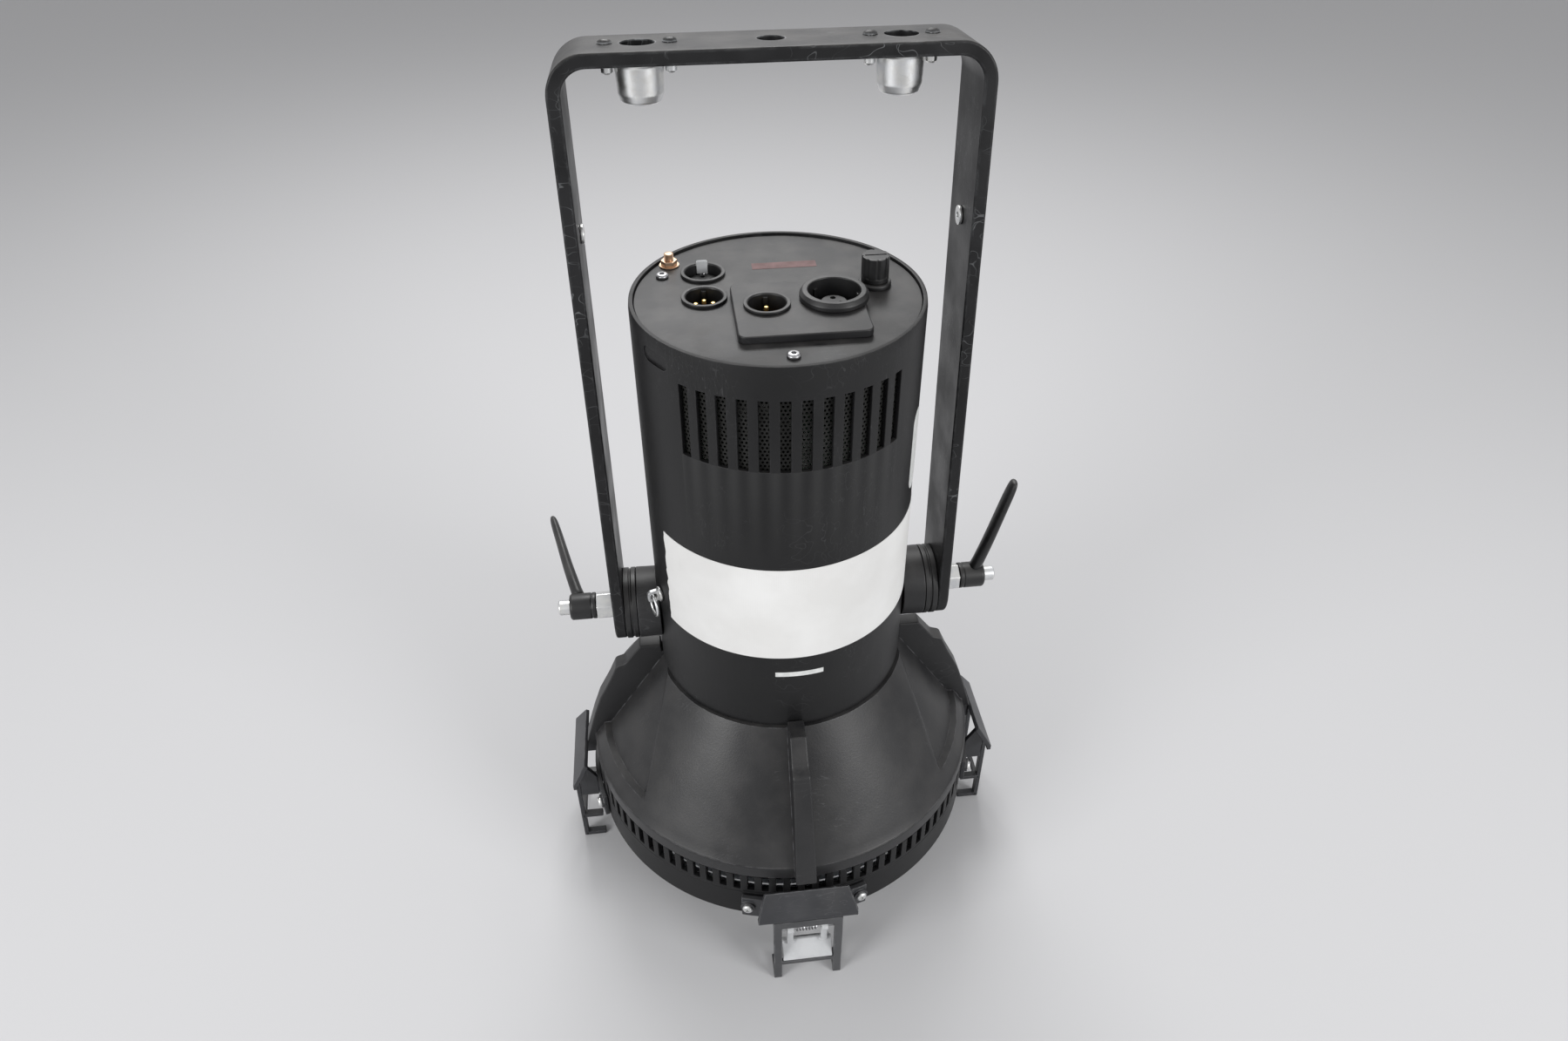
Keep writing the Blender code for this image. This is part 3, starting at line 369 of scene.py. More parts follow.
def placeStage():
    half = stage["size"] / 2
    shape = bmesh.new()
    bmesh.ops.create_grid(shape, x_segments=8, y_segments=8, size=half)
    mesh = bpy.data.meshes.new("floor")
    shape.to_mesh(mesh)
    shape.free()
    floor = bpy.data.objects.new("floor", mesh)
    bpy.context.scene.collection.objects.link(floor)
    material = bpy.data.materials.new("paleFloor")
    material.use_nodes = True
    shader = material.node_tree.nodes["Principled BSDF"]
    shader.inputs["Base Color"].default_value = (*stage["floor"], 1)
    shader.inputs["Roughness"].default_value = 0.75
    mesh.materials.append(material)

    world = bpy.context.scene.world or bpy.data.worlds.new("studio")
    bpy.context.scene.world = world
    world.use_nodes = True
    tree = world.node_tree
    background = tree.nodes["Background"]
    background.inputs["Color"].default_value = (*stage["sky"], 1)
    path = tree.nodes.new("ShaderNodeLightPath").outputs
    rays = [Signal(tree, path[label]) for label in ("Is Camera Ray", "Is Glossy Ray", "Is Transmission Ray")]
    seen = rays[0].calc("MAXIMUM", rays[1].calc("MAXIMUM", rays[2]))
    feed(seen.ranged(0.0, 1.0, stage["skyLight"], stage["skySeen"]), background.inputs["Strength"])

    for i, lamp in enumerate(lamps):
        light = bpy.data.lights.new(f"softbox{i + 1}", "AREA")
        light.size = lamp["size"]
        light.energy = lamp["power"]
        item = bpy.data.objects.new(light.name, light)
        bpy.context.scene.collection.objects.link(item)
        item.matrix_world = aimed(lamp["spot"], Vector(lamp["aim"]) - Vector(lamp["spot"]))
    bpy.context.scene.view_settings.view_transform = "Standard"


placeCamera()
placeStage()
print("camera, floor and lamps placed")


# Shader groups: the effects that several finishes share
def effectGroup(name, numbers, *results):
    return newGroup("ShaderNodeTree", name, numbers, {label: "NodeSocketFloat" for label in results})


def objectPlace(tree):
    return signal(tree, "ShaderNodeTexCoord", output="Object")


def normalOf(tree):
    return signal(tree, "ShaderNodeNewGeometry", output="Normal")


def grainGroup():
    tree, given, out = effectGroup("surfaceGrain", {"Grain": 900.0, "Patches": 30.0}, "Height", "Tone")
    place = objectPlace(tree)
    feed(place.cloud(given["Grain"], 2.0), out["Height"])
    feed(place.cloud(given["Patches"], 4.0).ranged(0.36, 0.64), out["Tone"])
    return tree


def wearGroup():
    # Where the rounded normal leaves the true one there is an edge, and paint wears off it
    tree, given, out = effectGroup("wornEdges", {"Reach": 0.001, "Amount": 0.5}, "Mask")
    rounded = signal(tree, "ShaderNodeBevel", {"Radius": given["Reach"]}, samples=6)
    match = signal(tree, "ShaderNodeVectorMath", {0: rounded, 1: normalOf(tree)}, "Value", operation="DOT_PRODUCT")
    worn = match.ranged(0.985, 0.86) * objectPlace(tree).cloud(160.0, 5.0).ranged(0.40, 0.62)
    feed(worn.calc("MULTIPLY", given["Amount"], clamped=True), out["Mask"])
    return tree


def dustGroup():
    tree, given, out = effectGroup("settledDust", {"Amount": 0.2}, "Mask")
    upwards = normalOf(tree).split()[2].ranged(0.25, 0.95)
    lying = upwards * objectPlace(tree).cloud(55.0, 6.0).ranged(0.38, 0.66)
    feed(lying.calc("MULTIPLY", given["Amount"], clamped=True), out["Mask"])
    return tree


def scratchGroup():
    # Thin contour lines of two stretched noises, broken up by a broad one
    tree, given, out = effectGroup("fineScratches", {"Scale": 60.0, "Amount": 0.3}, "Mask")
    place = objectPlace(tree)
    lines = []
    for turn in ((0.5, 0.3, 0.9), (-0.4, 0.8, -0.5)):
        values = {"Vector": place, "Rotation": turn, "Scale": (1.0, 9.0, 1.6)}
        wave = signal(tree, "ShaderNodeMapping", values).cloud(given["Scale"], 1.0)
        lines.append((wave - 0.5).calc("ABSOLUTE").ranged(0.006, 0.0015))
    kept = lines[0].calc("MAXIMUM", lines[1]) * place.cloud(24.0, 3.0).ranged(0.50, 0.62)
    feed(kept.calc("MULTIPLY", given["Amount"], clamped=True), out["Mask"])
    return tree


def bandGroup():
    # Pale upright bands below the gaps between the vent slots, fading downwards
    numbers = {"Pitch": 7.9, "Top": 0.342, "Reach": 0.058, "Spread": 46.0}
    tree, given, out = effectGroup("slotBands", numbers, "Mask")
    x, y, z = objectPlace(tree).split()
    angle = x.calc("ABSOLUTE").calc("ARCTAN2", y.calc("ABSOLUTE")).calc("DEGREES")
    wave = (angle / given["Pitch"] * fullTurn).calc("COSINE") * 0.5 + 0.5
    near = z.ranged(given["Top"] - given["Reach"], given["Top"])
    kept = z.calc("LESS_THAN", given["Top"]) * angle.calc("LESS_THAN", given["Spread"])
    feed(wave * near * kept, out["Mask"])
    return tree


groups = {"grain": grainGroup(), "wear": wearGroup(), "dust": dustGroup(), "scratches": scratchGroup(),
    "bands": bandGroup()}
paleBand = (0.05, 0.05, 0.05)
dustColour = (0.22, 0.21, 0.20)
dustRoughness = 0.3


def effect(tree, name, **values):
    named = {label.title(): value for label, value in values.items()}
    return signals(tree, "ShaderNodeGroup", named, node_tree=groups[name])


def startFinish(name, look):
    material = bpy.data.materials.new(name)
    material.use_nodes = True
    material.diffuse_color = (*look["colour"], 1)
    tree = material.node_tree
    return material, tree, tree.nodes["Principled BSDF"].inputs


def madeFinish(name, look):
    # Grain, two tones, scratches, bands, dust and worn edges, each as strong as the look asks
    material, tree, shader = startFinish(name, look)
    height, tone = effect(tree, "grain", grain=look["grain"], patches=look["patches"])
    colour = tone.mixed(look["colour"], look["shade"])
    gloss = tone.ranged(0.0, 1.0, *look["rough"])
    if "scratches" in look:
        colour = effect(tree, "scratches", amount=look["scratches"])[0].mixed(colour, look["bare"])
    if "bands" in look:
        colour = (effect(tree, "bands")[0] * look["bands"]).mixed(colour, paleBand)
    if "dust" in look:
        dust = effect(tree, "dust", amount=look["dust"])[0]
        colour = dust.mixed(colour, dustColour)
        gloss = gloss.calc("ADD", dust * dustRoughness, clamped=True)
    if "wear" in look:
        colour = effect(tree, "wear", amount=look["wear"], reach=look["reach"])[0].mixed(colour, look["bare"])
    if "streaks" in look:
        laid = signal(tree, "ShaderNodeMapping", {"Vector": objectPlace(tree), "Scale": look["streaks"]})
        height = laid.cloud(1.0, 3.0) * (look["streakDepth"] / look["depth"]) + height
    feed(colour, shader["Base Color"])
    feed(gloss, shader["Roughness"])
    shader["Metallic"].default_value = look.get("metal", 0.0)
    shader["Specular IOR Level"].default_value = look.get("sheen", 0.5)
    bump = {"Strength": 0.5, "Distance": look["depth"], "Height": height}
    feed(signal(tree, "ShaderNodeBump", bump), shader["Normal"])
    return material


looks = {
    "tubeCoat": {"slot": "black_coat", "colour": (0.008, 0.008, 0.0085), "shade": (0.012, 0.012, 0.0125),
        "rough": (0.42, 0.50), "sheen": 0.26, "grain": 1100.0, "patches": 22.0, "depth": 0.00006,
        "streaks": (95.0, 95.0, 1.6), "streakDepth": 0.0003, "bands": 0.35, "scratches": 0.20, "dust": 0.10,
        "wear": 0.40, "reach": 0.0008, "bare": (0.12, 0.12, 0.125)},
    "castingCoat": {"slot": "black_coat", "colour": (0.014, 0.014, 0.015), "shade": (0.021, 0.021, 0.022),
        "rough": (0.36, 0.47), "sheen": 0.40, "grain": 800.0, "patches": 18.0, "depth": 0.00010, "scratches": 0.16,
        "dust": 0.14, "wear": 0.60, "reach": 0.0010, "bare": (0.22, 0.22, 0.23)},
    # Painted light: the holders get a lighter, bluish black than the casting, standing in for the light their sloping
    # hoods catch
    "holderCoatPaintedLight": {"slot": "black_coat", "colour": (0.026, 0.027, 0.030), "shade": (0.036, 0.037, 0.041),
        "rough": (0.36, 0.47), "sheen": 0.45, "grain": 800.0, "patches": 30.0, "depth": 0.00010, "scratches": 0.16,
        "dust": 0.16, "wear": 0.80, "reach": 0.0010, "bare": (0.26, 0.26, 0.27)},
    # Painted shade: the comb and front ring get a darker black than the other coats, standing in for the shade they sit
    # in below the casting
    "ringCoatPaintedShade": {"slot": "black_coat", "colour": (0.006, 0.006, 0.0065), "shade": (0.010, 0.010, 0.0105),
        "rough": (0.42, 0.54), "sheen": 0.22, "grain": 800.0, "patches": 18.0, "depth": 0.00008, "wear": 0.30,
        "reach": 0.0008, "bare": (0.10, 0.10, 0.105)},
    "frameCoat": {"slot": "black_coat", "colour": (0.060, 0.061, 0.064), "shade": (0.046, 0.047, 0.050),
        "rough": (0.34, 0.46), "grain": 800.0, "patches": 60.0, "depth": 0.00006, "wear": 0.90, "reach": 0.0012,
        "bare": (0.30, 0.30, 0.31)},
    "yokeCoat": {"slot": "black_coat", "colour": (0.008, 0.008, 0.0085), "shade": (0.014, 0.014, 0.015),
        "rough": (0.34, 0.48), "sheen": 0.24, "grain": 900.0, "patches": 35.0, "depth": 0.00008, "scratches": 0.35,
        "dust": 0.22, "wear": 1.0, "reach": 0.0016, "bare": (0.30, 0.31, 0.32)},
    "panelCoat": {"slot": "black_coat", "colour": (0.013, 0.013, 0.014), "shade": (0.019, 0.019, 0.020),
        "rough": (0.34, 0.44), "sheen": 0.36, "grain": 1000.0, "patches": 40.0, "depth": 0.00005, "scratches": 0.12,
        "dust": 0.20, "wear": 0.50, "reach": 0.0008, "bare": (0.24, 0.24, 0.25)},
    "blackPlastic": {"slot": "black_plastic", "colour": (0.008, 0.008, 0.0085), "shade": (0.012, 0.012, 0.0125),
        "rough": (0.34, 0.48), "grain": 1500.0, "patches": 60.0, "depth": 0.00003, "dust": 0.15, "wear": 0.40,
        "reach": 0.0006, "bare": (0.09, 0.09, 0.09)},
    "greyPlastic": {"slot": "grey_plastic", "colour": (0.58, 0.59, 0.60), "shade": (0.49, 0.50, 0.51),
        "rough": (0.34, 0.46), "grain": 1200.0, "patches": 90.0, "depth": 0.00003, "dust": 0.10, "wear": 0.4,
        "reach": 0.0006, "bare": (0.72, 0.72, 0.72)},
    "blackRubber": {"slot": "black_rubber", "colour": (0.009, 0.009, 0.009), "shade": (0.014, 0.014, 0.014),
        "rough": (0.65, 0.80), "grain": 700.0, "patches": 50.0, "depth": 0.00005, "dust": 0.10},
    "zincPlate": {"slot": "zinc", "colour": (0.80, 0.80, 0.78), "shade": (0.66, 0.67, 0.68), "rough": (0.28, 0.42),
        "metal": 1.0, "grain": 1400.0, "patches": 170.0, "depth": 0.00002, "scratches": 0.25, "dust": 0.10,
        "bare": (0.36, 0.36, 0.37)},
    "plainSteel": {"slot": "steel", "colour": (0.46, 0.46, 0.47), "shade": (0.34, 0.34, 0.35), "rough": (0.30, 0.45),
        "metal": 1.0, "grain": 1200.0, "patches": 120.0, "depth": 0.00002, "dust": 0.10},
    "screenSteel": {"slot": "steel", "colour": (0.022, 0.022, 0.021), "shade": (0.013, 0.013, 0.012),
        "rough": (0.50, 0.64), "sheen": 0.2, "grain": 1200.0, "patches": 60.0, "depth": 0.00002},
    "milledAluminium": {"slot": "aluminium", "colour": (0.62, 0.63, 0.65), "shade": (0.50, 0.51, 0.53),
        "rough": (0.28, 0.42), "metal": 1.0, "grain": 1300.0, "patches": 80.0, "depth": 0.00002,
        "streaks": (30.0, 30.0, 900.0), "streakDepth": 0.00003},
    "mirrorFoil": {"slot": "mirror", "colour": (0.84, 0.85, 0.87), "shade": (0.78, 0.79, 0.81), "rough": (0.07, 0.14),
        "metal": 1.0, "grain": 400.0, "patches": 60.0, "depth": 0.00002},
    "goldPlate": {"slot": "gold", "colour": (0.95, 0.70, 0.30), "shade": (0.86, 0.62, 0.25), "rough": (0.32, 0.46),
        "metal": 1.0, "grain": 1500.0, "patches": 300.0, "depth": 0.00001},
    "turnedBrass": {"slot": "brass", "colour": (0.80, 0.58, 0.42), "shade": (0.64, 0.46, 0.32), "rough": (0.30, 0.46),
        "metal": 1.0, "grain": 1500.0, "patches": 220.0, "depth": 0.00002, "dust": 0.10},
    "boardGreen": {"slot": "circuit_board", "colour": (0.025, 0.14, 0.06), "shade": (0.035, 0.18, 0.08),
        "rough": (0.30, 0.40), "grain": 1500.0, "patches": 200.0, "depth": 0.00003},
    "phosphorYellow": {"slot": "phosphor", "colour": (0.85, 0.68, 0.18), "shade": (0.78, 0.60, 0.14),
        "rough": (0.35, 0.50), "grain": 900.0, "patches": 200.0, "depth": 0.00003},
    "whiteInk": {"slot": "black_coat", "colour": (0.72, 0.73, 0.72), "shade": (0.60, 0.61, 0.60),
        "rough": (0.45, 0.60), "grain": 1300.0, "patches": 260.0, "depth": 0.00002, "dust": 0.10},
    "redInk": {"slot": "black_coat", "colour": (0.120, 0.028, 0.026), "shade": (0.085, 0.022, 0.020),
        "rough": (0.46, 0.56), "grain": 1300.0, "patches": 200.0, "depth": 0.00002},
}
finishes = {name: madeFinish(name, look) for name, look in looks.items()}


def glassFinish():
    look = {"slot": "clear_glass", "colour": (0.95, 0.97, 0.97), "smears": (0.02, 0.09)}
    material, tree, shader = startFinish("clearGlass", look)
    tone = effect(tree, "grain", patches=25.0)[1]
    shader["Base Color"].default_value = (*look["colour"], 1)
    shader["Transmission Weight"].default_value = 1.0
    shader["IOR"].default_value = 1.5
    feed(tone.ranged(0.0, 1.0, *look["smears"]), shader["Roughness"])
    return material


def tapeFinish():
    # White cloth tape: a fine crossed weave, soft wrinkles and grey smudges
    look = {"slot": "black_coat", "colour": (0.80, 0.80, 0.79), "smudge": (0.62, 0.61, 0.59), "threads": 2100.0}
    material, tree, shader = startFinish("whiteTape", look)
    values = {"Vector": signal(tree, "ShaderNodeTexCoord", output="UV"), "Scale": look["threads"] / fullTurn,
        "Distortion": 0.6}
    across, along = (signal(tree, "ShaderNodeTexWave", values, "Fac", bands_direction=way) for way in ("X", "Y"))
    weave = across.calc("MAXIMUM", along)
    wrinkles, tone = effect(tree, "grain", grain=120.0, patches=26.0)
    feed((tone * 0.35).mixed(look["colour"], look["smudge"]), shader["Base Color"])
    feed(weave.ranged(0.0, 1.0, 0.78, 0.62), shader["Roughness"])
    bump = {"Strength": 0.5, "Distance": 0.00006, "Height": wrinkles * 6.0 + weave}
    feed(signal(tree, "ShaderNodeBump", bump), shader["Normal"])
    return material


finishes["clearGlass"] = glassFinish()
finishes["whiteTape"] = tapeFinish()
print(len(finishes), "finishes made")


# Geometry Nodes trees for what repeats or follows a rule
def startTree(name, numbers):
    inputs = {"Geometry": "NodeSocketGeometry", **numbers, "Finish": "NodeSocketMaterial"}
    return newGroup("GeometryNodeTree", name, inputs, {"Geometry": "NodeSocketGeometry"})


def endTree(tree, geometry, given, out):
    solid = signal(tree, "GeometryNodeRealizeInstances", {"Geometry": geometry})
    feed(signal(tree, "GeometryNodeSetMaterial", {"Geometry": solid, "Material": given["Finish"]}), out["Geometry"])
    return tree


def spotIn(tree, x=0.0, y=0.0, z=0.0):
    return signal(tree, "ShaderNodeCombineXYZ", {"X": x, "Y": y, "Z": z})


def placed(tree, geometry, key, value):
    return signal(tree, "GeometryNodeSetPosition", {"Geometry": geometry, key: value})


def copiesTree():
    # Copies of a shape turned about Z, and lifted step by step where Rise asks for it
    tree, given, out = startTree("copiesAboutAxis", {"Count": 8, "First": 0.0, "Step": 45.0, "Rise": 0.0})
    spots = signal(tree, "GeometryNodePoints", {"Count": given["Count"]})
    index = signal(tree, "GeometryNodeInputIndex")
    turn = spotIn(tree, z=(index * given["Step"] + given["First"]).calc("RADIANS"))
    raised = placed(tree, spots, "Offset", spotIn(tree, z=index * given["Rise"]))
    values = {"Points": raised, "Instance": given["Geometry"], "Rotation": turn}
    return endTree(tree, signal(tree, "GeometryNodeInstanceOnPoints", values), given, out)


def screenTree():
    # A staggered grid of punched cells, rolled to the tube's radius
    numbers = {"Columns": 40, "Rows": 20, "Pitch": 0.0024, "Row Height": 0.0021, "Radius": 0.072, "Low": 0.337}
    tree, given, out = startTree("rolledScreen", numbers)
    columns, radius = given["Columns"], given["Radius"]
    spots = signal(tree, "GeometryNodePoints", {"Count": columns * given["Rows"]})
    index = signal(tree, "GeometryNodeInputIndex")
    row = ((index + 0.5) / columns).calc("FLOOR")
    stagger = row.calc("MODULO", 2.0) * 0.5 + 0.25
    across = index - row * columns - columns * 0.5 + stagger
    flat = spotIn(tree, across * given["Pitch"], 0.0, (row + 0.5) * given["Row Height"] + given["Low"])
    laid = placed(tree, spots, "Position", flat)
    cells = signal(tree, "GeometryNodeInstanceOnPoints", {"Points": laid, "Instance": given["Geometry"]})
    solid = signal(tree, "GeometryNodeRealizeInstances", {"Geometry": cells})
    whole = signal(tree, "GeometryNodeMergeByDistance", {"Geometry": solid, "Distance": 2e-6})
    x, y, z = signal(tree, "GeometryNodeInputPosition").split()
    reach, angle = radius - y, x / radius
    rolled = spotIn(tree, reach * angle.calc("SINE"), reach * angle.calc("COSINE") * -1.0, z)
    return endTree(tree, placed(tree, whole, "Position", rolled), given, out)


def pressedTree():
    # The casting's rule: a smooth minimum of the cone and of a flat on each side, no deeper than Recess
    numbers = {"Top": 0.160, "Ledge": 0.0997, "Cone Radius": 0.077, "Cone Slope": 0.676, "Flat Radius": 0.0735,
        "Flat Slope": 0.33, "Blend": 0.0012, "Recess": 0.004, "Steepness": 2.0}
    tree, given, out = startTree("flatsPressedIn", numbers)
    x, y, z = signal(tree, "GeometryNodeInputPosition").split()
    radius = (x * x + y * y).calc("SQRT")
    depth = given["Top"] - z
    inset = depth * given["Cone Slope"] + given["Cone Radius"] - radius
    facing = (x.calc("ABSOLUTE") / radius).calc("MAXIMUM", 0.001)
    flatReach = (depth * given["Flat Slope"] + given["Flat Radius"] - inset) / facing
    flatReach = (flatReach - radius) * given["Steepness"] + radius
    apart = (radius - flatReach).calc("ABSOLUTE") / given["Blend"]
    fillet = ((apart * -1.0).calc("EXPONENT") + 1.0).calc("LOGARITHM", math.e)
    pressed = radius.calc("MINIMUM", flatReach) - fillet * given["Blend"]
    pressed = pressed.calc("SMOOTH_MAX", radius - given["Recess"], 0.002)
    above = (z + inset).calc("GREATER_THAN", given["Ledge"])
    scale = above * (pressed / radius - 1.0) + 1.0
    shaped = placed(tree, given["Geometry"], "Position", spotIn(tree, x * scale, y * scale, z))
    return endTree(tree, shaped, given, out)


def coilTree():
    numbers = {"Turns": 5.0, "Radius": 0.002, "Wire": 0.0003, "Length": 0.008}
    tree, given, out = startTree("coilSpring", numbers)
    values = {"Resolution": 20, "Rotations": given["Turns"], "Start Radius": given["Radius"],
        "End Radius": given["Radius"], "Height": given["Length"]}
    spiral = signal(tree, "GeometryNodeCurveSpiral", values)
    section = signal(tree, "GeometryNodeCurvePrimitiveCircle", {"Resolution": 8, "Radius": given["Wire"]})
    values = {"Curve": spiral, "Profile Curve": section, "Fill Caps": True}
    return endTree(tree, signal(tree, "GeometryNodeCurveToMesh", values), given, out)


trees = {"copies": copiesTree(), "screen": screenTree(), "pressed": pressedTree(), "coil": coilTree()}


def grown(tree, shape, look, values):
    item = stepObject(shape)
    modifier = item.modifiers.new("grow", "NODES")
    modifier.node_group = trees[tree]
    wanted = {**values, "Finish": finishes[look]}
    for socket in trees[tree].interface.items_tree:
        if socket.in_out == "INPUT" and socket.name in wanted:
            modifier[socket.identifier] = wanted[socket.name]
    return plainResult(item)


def copies(shape, look, count, first, step, rise=0.0):
    return grown("copies", shape, look, {"Count": count, "First": float(first), "Step": float(step), "Rise": rise})


print(len(trees), "Geometry Nodes trees ready")


# Rear housing tube
tube = {"radius": 0.075, "wall": 0.0025, "low": 0.1603, "high": 0.400, "seat": 0.3957, "slots": 12, "slotPitch": 7.9,
    "slotWidth": 0.0052, "slotLow": 0.342, "slotHigh": 0.382, "edge": 0.00035, "widest": 2.6, "pocketAt": -58,
    "pocketHeight": 0.389, "pocketLength": 0.020, "pocketWidth": 0.008, "pocketDepth": 0.0012, "lugAt": -73,
    "lugHeight": 0.2240}


def roundEnded(length, width, steps=10):
    # A flat outline with straight sides and round ends, its length along X
    radius = width / 2
    outline = []
    for side, start in ((1, -90), (-1, 90)):
        for i in range(steps + 1):
            angle = math.radians(start + 180 * i / steps)
            outline.append((side * (length / 2 - radius) + radius * math.cos(angle), radius * math.sin(angle)))
    return outline


def slotMiddles():
    half = (tube["slots"] - 1) / 2
    return [side + (i - half) * tube["slotPitch"] for side in (-90, 90) for i in range(tube["slots"])]


def housingTube():
    half = math.degrees(tube["slotWidth"] / tube["radius"]) / 2
    marks = sorted(middle + side * half for middle in slotMiddles() for side in (-1, 1))
    angles = []
    for start, end in zip(marks, marks[1:] + [marks[0] + 360]):
        steps = math.ceil((end - start) / tube["widest"] - 1e-6)
        angles += [start + (end - start) * i / steps for i in range(steps)]
    outside, inside, seat = tube["radius"], tube["radius"] - tube["wall"], tube["seat"]
    low, slotLow, slotHigh, high = tube["low"], tube["slotLow"], tube["slotHigh"], tube["high"]
    outer = [(outside, z) for z in (low, slotLow, slotHigh, seat - 0.004, seat - 0.001, seat + 0.001)]
    outer.append((outside - 0.0004, high))
    inner = [(inside, low), (inside, slotLow), (inside, slotHigh), (inside, seat - 0.004), (inside - 0.004, seat),
        (inside, seat), (inside, high)]

    def isSlot(column, row):
        middle = (angles[column] + (angles + [angles[0] + 360])[column + 1]) / 2
        return row == 1 and any(abs((middle - slot + 180) % 360 - 180) < half for slot in slotMiddles())

    shell = eased(wallShape(angles, outer, inner, isSlot), tube["edge"])
    pocket = plateShape(roundEnded(tube["pocketLength"], tube["pocketWidth"]), -tube["pocketDepth"], 0.004,
        around(tube["pocketAt"]) @ shifted(0, -outside, tube["pocketHeight"]) @ toFront)
    lugHole = rodShape(0.0028, 0.068, 0.080, 24, around(tube["lugAt"]) @ shifted(0, 0, tube["lugHeight"]) @ toFront)
    newPiece("housingTube", carved(shell, [pocket, lugHole]), "tubeCoat", "housing_tube")


# Perforated screens behind the slots
screen = {"columns": 54, "rows": 22, "pitch": 0.0022, "rowHeight": 0.0021, "hole": 0.00072, "sheet": 0.0006,
    "radius": 0.0721, "low": 0.3388}


def punchedCell():
    wide, high, deep = screen["pitch"] / 2, screen["rowHeight"] / 2, screen["sheet"]
    border = [(wide, 0), (wide, high), (0, high), (-wide, high), (-wide, 0), (-wide, -high), (0, -high), (wide, -high)]
    shape = bmesh.new()
    loops = []
    for y in (0, deep):
        outlines = (border, circlePoints(screen["hole"], len(border)))
        loops.append([[shape.verts.new((x, y, z)) for x, z in outline] for outline in outlines])
    (frontEdge, frontHole), (backEdge, backHole) = loops
    for i in range(len(border)):
        j = (i + 1) % len(border)
        shape.faces.new((frontEdge[j], frontEdge[i], frontHole[i], frontHole[j]))
        shape.faces.new((backEdge[i], backEdge[j], backHole[j], backHole[i]))
        shape.faces.new((frontHole[j], frontHole[i], backHole[i], backHole[j]))
    return shape


def ventScreens():
    finish = "screenSteel"
    sheet = grown("screen", punchedCell(), finish, {
        "Columns": screen["columns"], "Rows": screen["rows"], "Pitch": screen["pitch"],
        "Row Height": screen["rowHeight"], "Radius": screen["radius"], "Low": screen["low"]})
    newPiece("ventScreens", copies(sheet, finish, 2, 0, 180), finish, "vent_screen_front", "vent_screen_back",
        sharp=50)


# Flared casting: cone with flats, rim and four ribs
casting = {"top": 0.160, "rimTop": 0.089, "rimLow": 0.081, "topRadius": 0.077, "rimRadius": 0.125, "wall": 0.003,
    "ringWall": 0.0035, "flatAtTop": 0.0735, "flatSpread": 0.33, "blend": 0.0007, "ledge": 0.0905, "foot": 0.0994,
    "recess": 0.004, "steepness": 2.2, "rows": 26, "steps": 432, "ribTop": 0.1650, "ribTopHalf": 0.0048,
    "ribLow": 0.0822, "ribLowHalf": 0.0063, "ribEdge": 0.0009}


def coneCasting():
    finish = "castingCoat"
    top, ledge, rim = casting["top"], casting["ledge"], casting["rimRadius"]
    slope = (rim - casting["topRadius"]) / (top - casting["rimTop"])

    def cone(z, inset):
        return casting["topRadius"] + slope * (top - z) - inset

    foot, wall, inside = casting["foot"], casting["wall"], rim - casting["ringWall"]
    heights = [top + (foot + 0.0006 - top) * i / casting["rows"] for i in range(casting["rows"] + 1)]
    profile = [(cone(z, 0.0), z) for z in heights + [foot, 0.0950]]
    profile += [(rim - 0.0014, ledge), (rim - 0.0004, ledge - 0.0004), (rim, ledge - 0.0014),
        (rim, casting["rimLow"] + 0.0004), (rim - 0.0004, casting["rimLow"])]
    profile += [(inside, casting["rimLow"]), (inside, 0.0897)]
    profile += [(cone(z, wall), z) for z in [foot - 0.0032, foot - 0.0026] + heights[-2::-1]]
    shell = grown("pressed", turnedShape(profile, casting["steps"], ring=True), finish, {
        "Top": top, "Ledge": foot + 0.0003, "Cone Radius": casting["topRadius"], "Cone Slope": slope,
        "Flat Radius": casting["flatAtTop"], "Flat Slope": casting["flatSpread"], "Blend": casting["blend"],
        "Recess": casting["recess"], "Steepness": casting["steepness"]})

    ribTop, ribLow = casting["ribTop"], casting["ribLow"]
    outerEdge = [(0.0893, ribTop), (0.0996, 0.1512), (0.1056, 0.1492), (0.1104, 0.1380), (0.1185, 0.1220),
        (0.1235, 0.1080), (0.1290, 0.0900), (0.1312, ribLow)]
    onCone = [(0.1235, ribLow), (0.1215, 0.0910), (0.0925, 0.1340), (0.0758, 0.1590), (0.0760, ribTop)]
    onFlat = [(0.1235, ribLow), (0.1235, 0.0890), (0.1194, 0.0950), (0.1150, 0.0982), (0.1120, 0.1000),
        (0.0890, 0.1340), (0.0722, 0.1590), (0.0756, 0.1596), (0.0760, ribTop)]

    def halfAt(z):
        low, high = casting["ribLowHalf"], casting["ribTopHalf"]
        return low + (high - low) * (z - ribLow) / (ribTop - ribLow)

    ribs = []
    for innerEdge, first in ((onCone, 0), (onFlat, 90)):
        outline = softCorners(outerEdge, 0.0018, 4, ring=False) + innerEdge
        sides = [[(side * halfAt(z), -r, z) for r, z in outline] for side in (-1, 1)]
        ribs.append(copies(eased(loftShape(sides), casting["ribEdge"], 3, 50), finish, 2, first, 180))
    newPiece("coneCasting", joined(shell, *ribs), finish, "cone_housing", sharp=45)


# Comb of vent teeth and the front ring
comb = {"teeth": 90, "low": 0.0643, "floor": 0.0665, "high": 0.0807, "radius": 0.125, "wall": 0.0035,
    "toothEdge": 0.00035}
frontRing = {"low": 0.041, "high": 0.0640, "lip": 0.112, "edge": 0.0006}


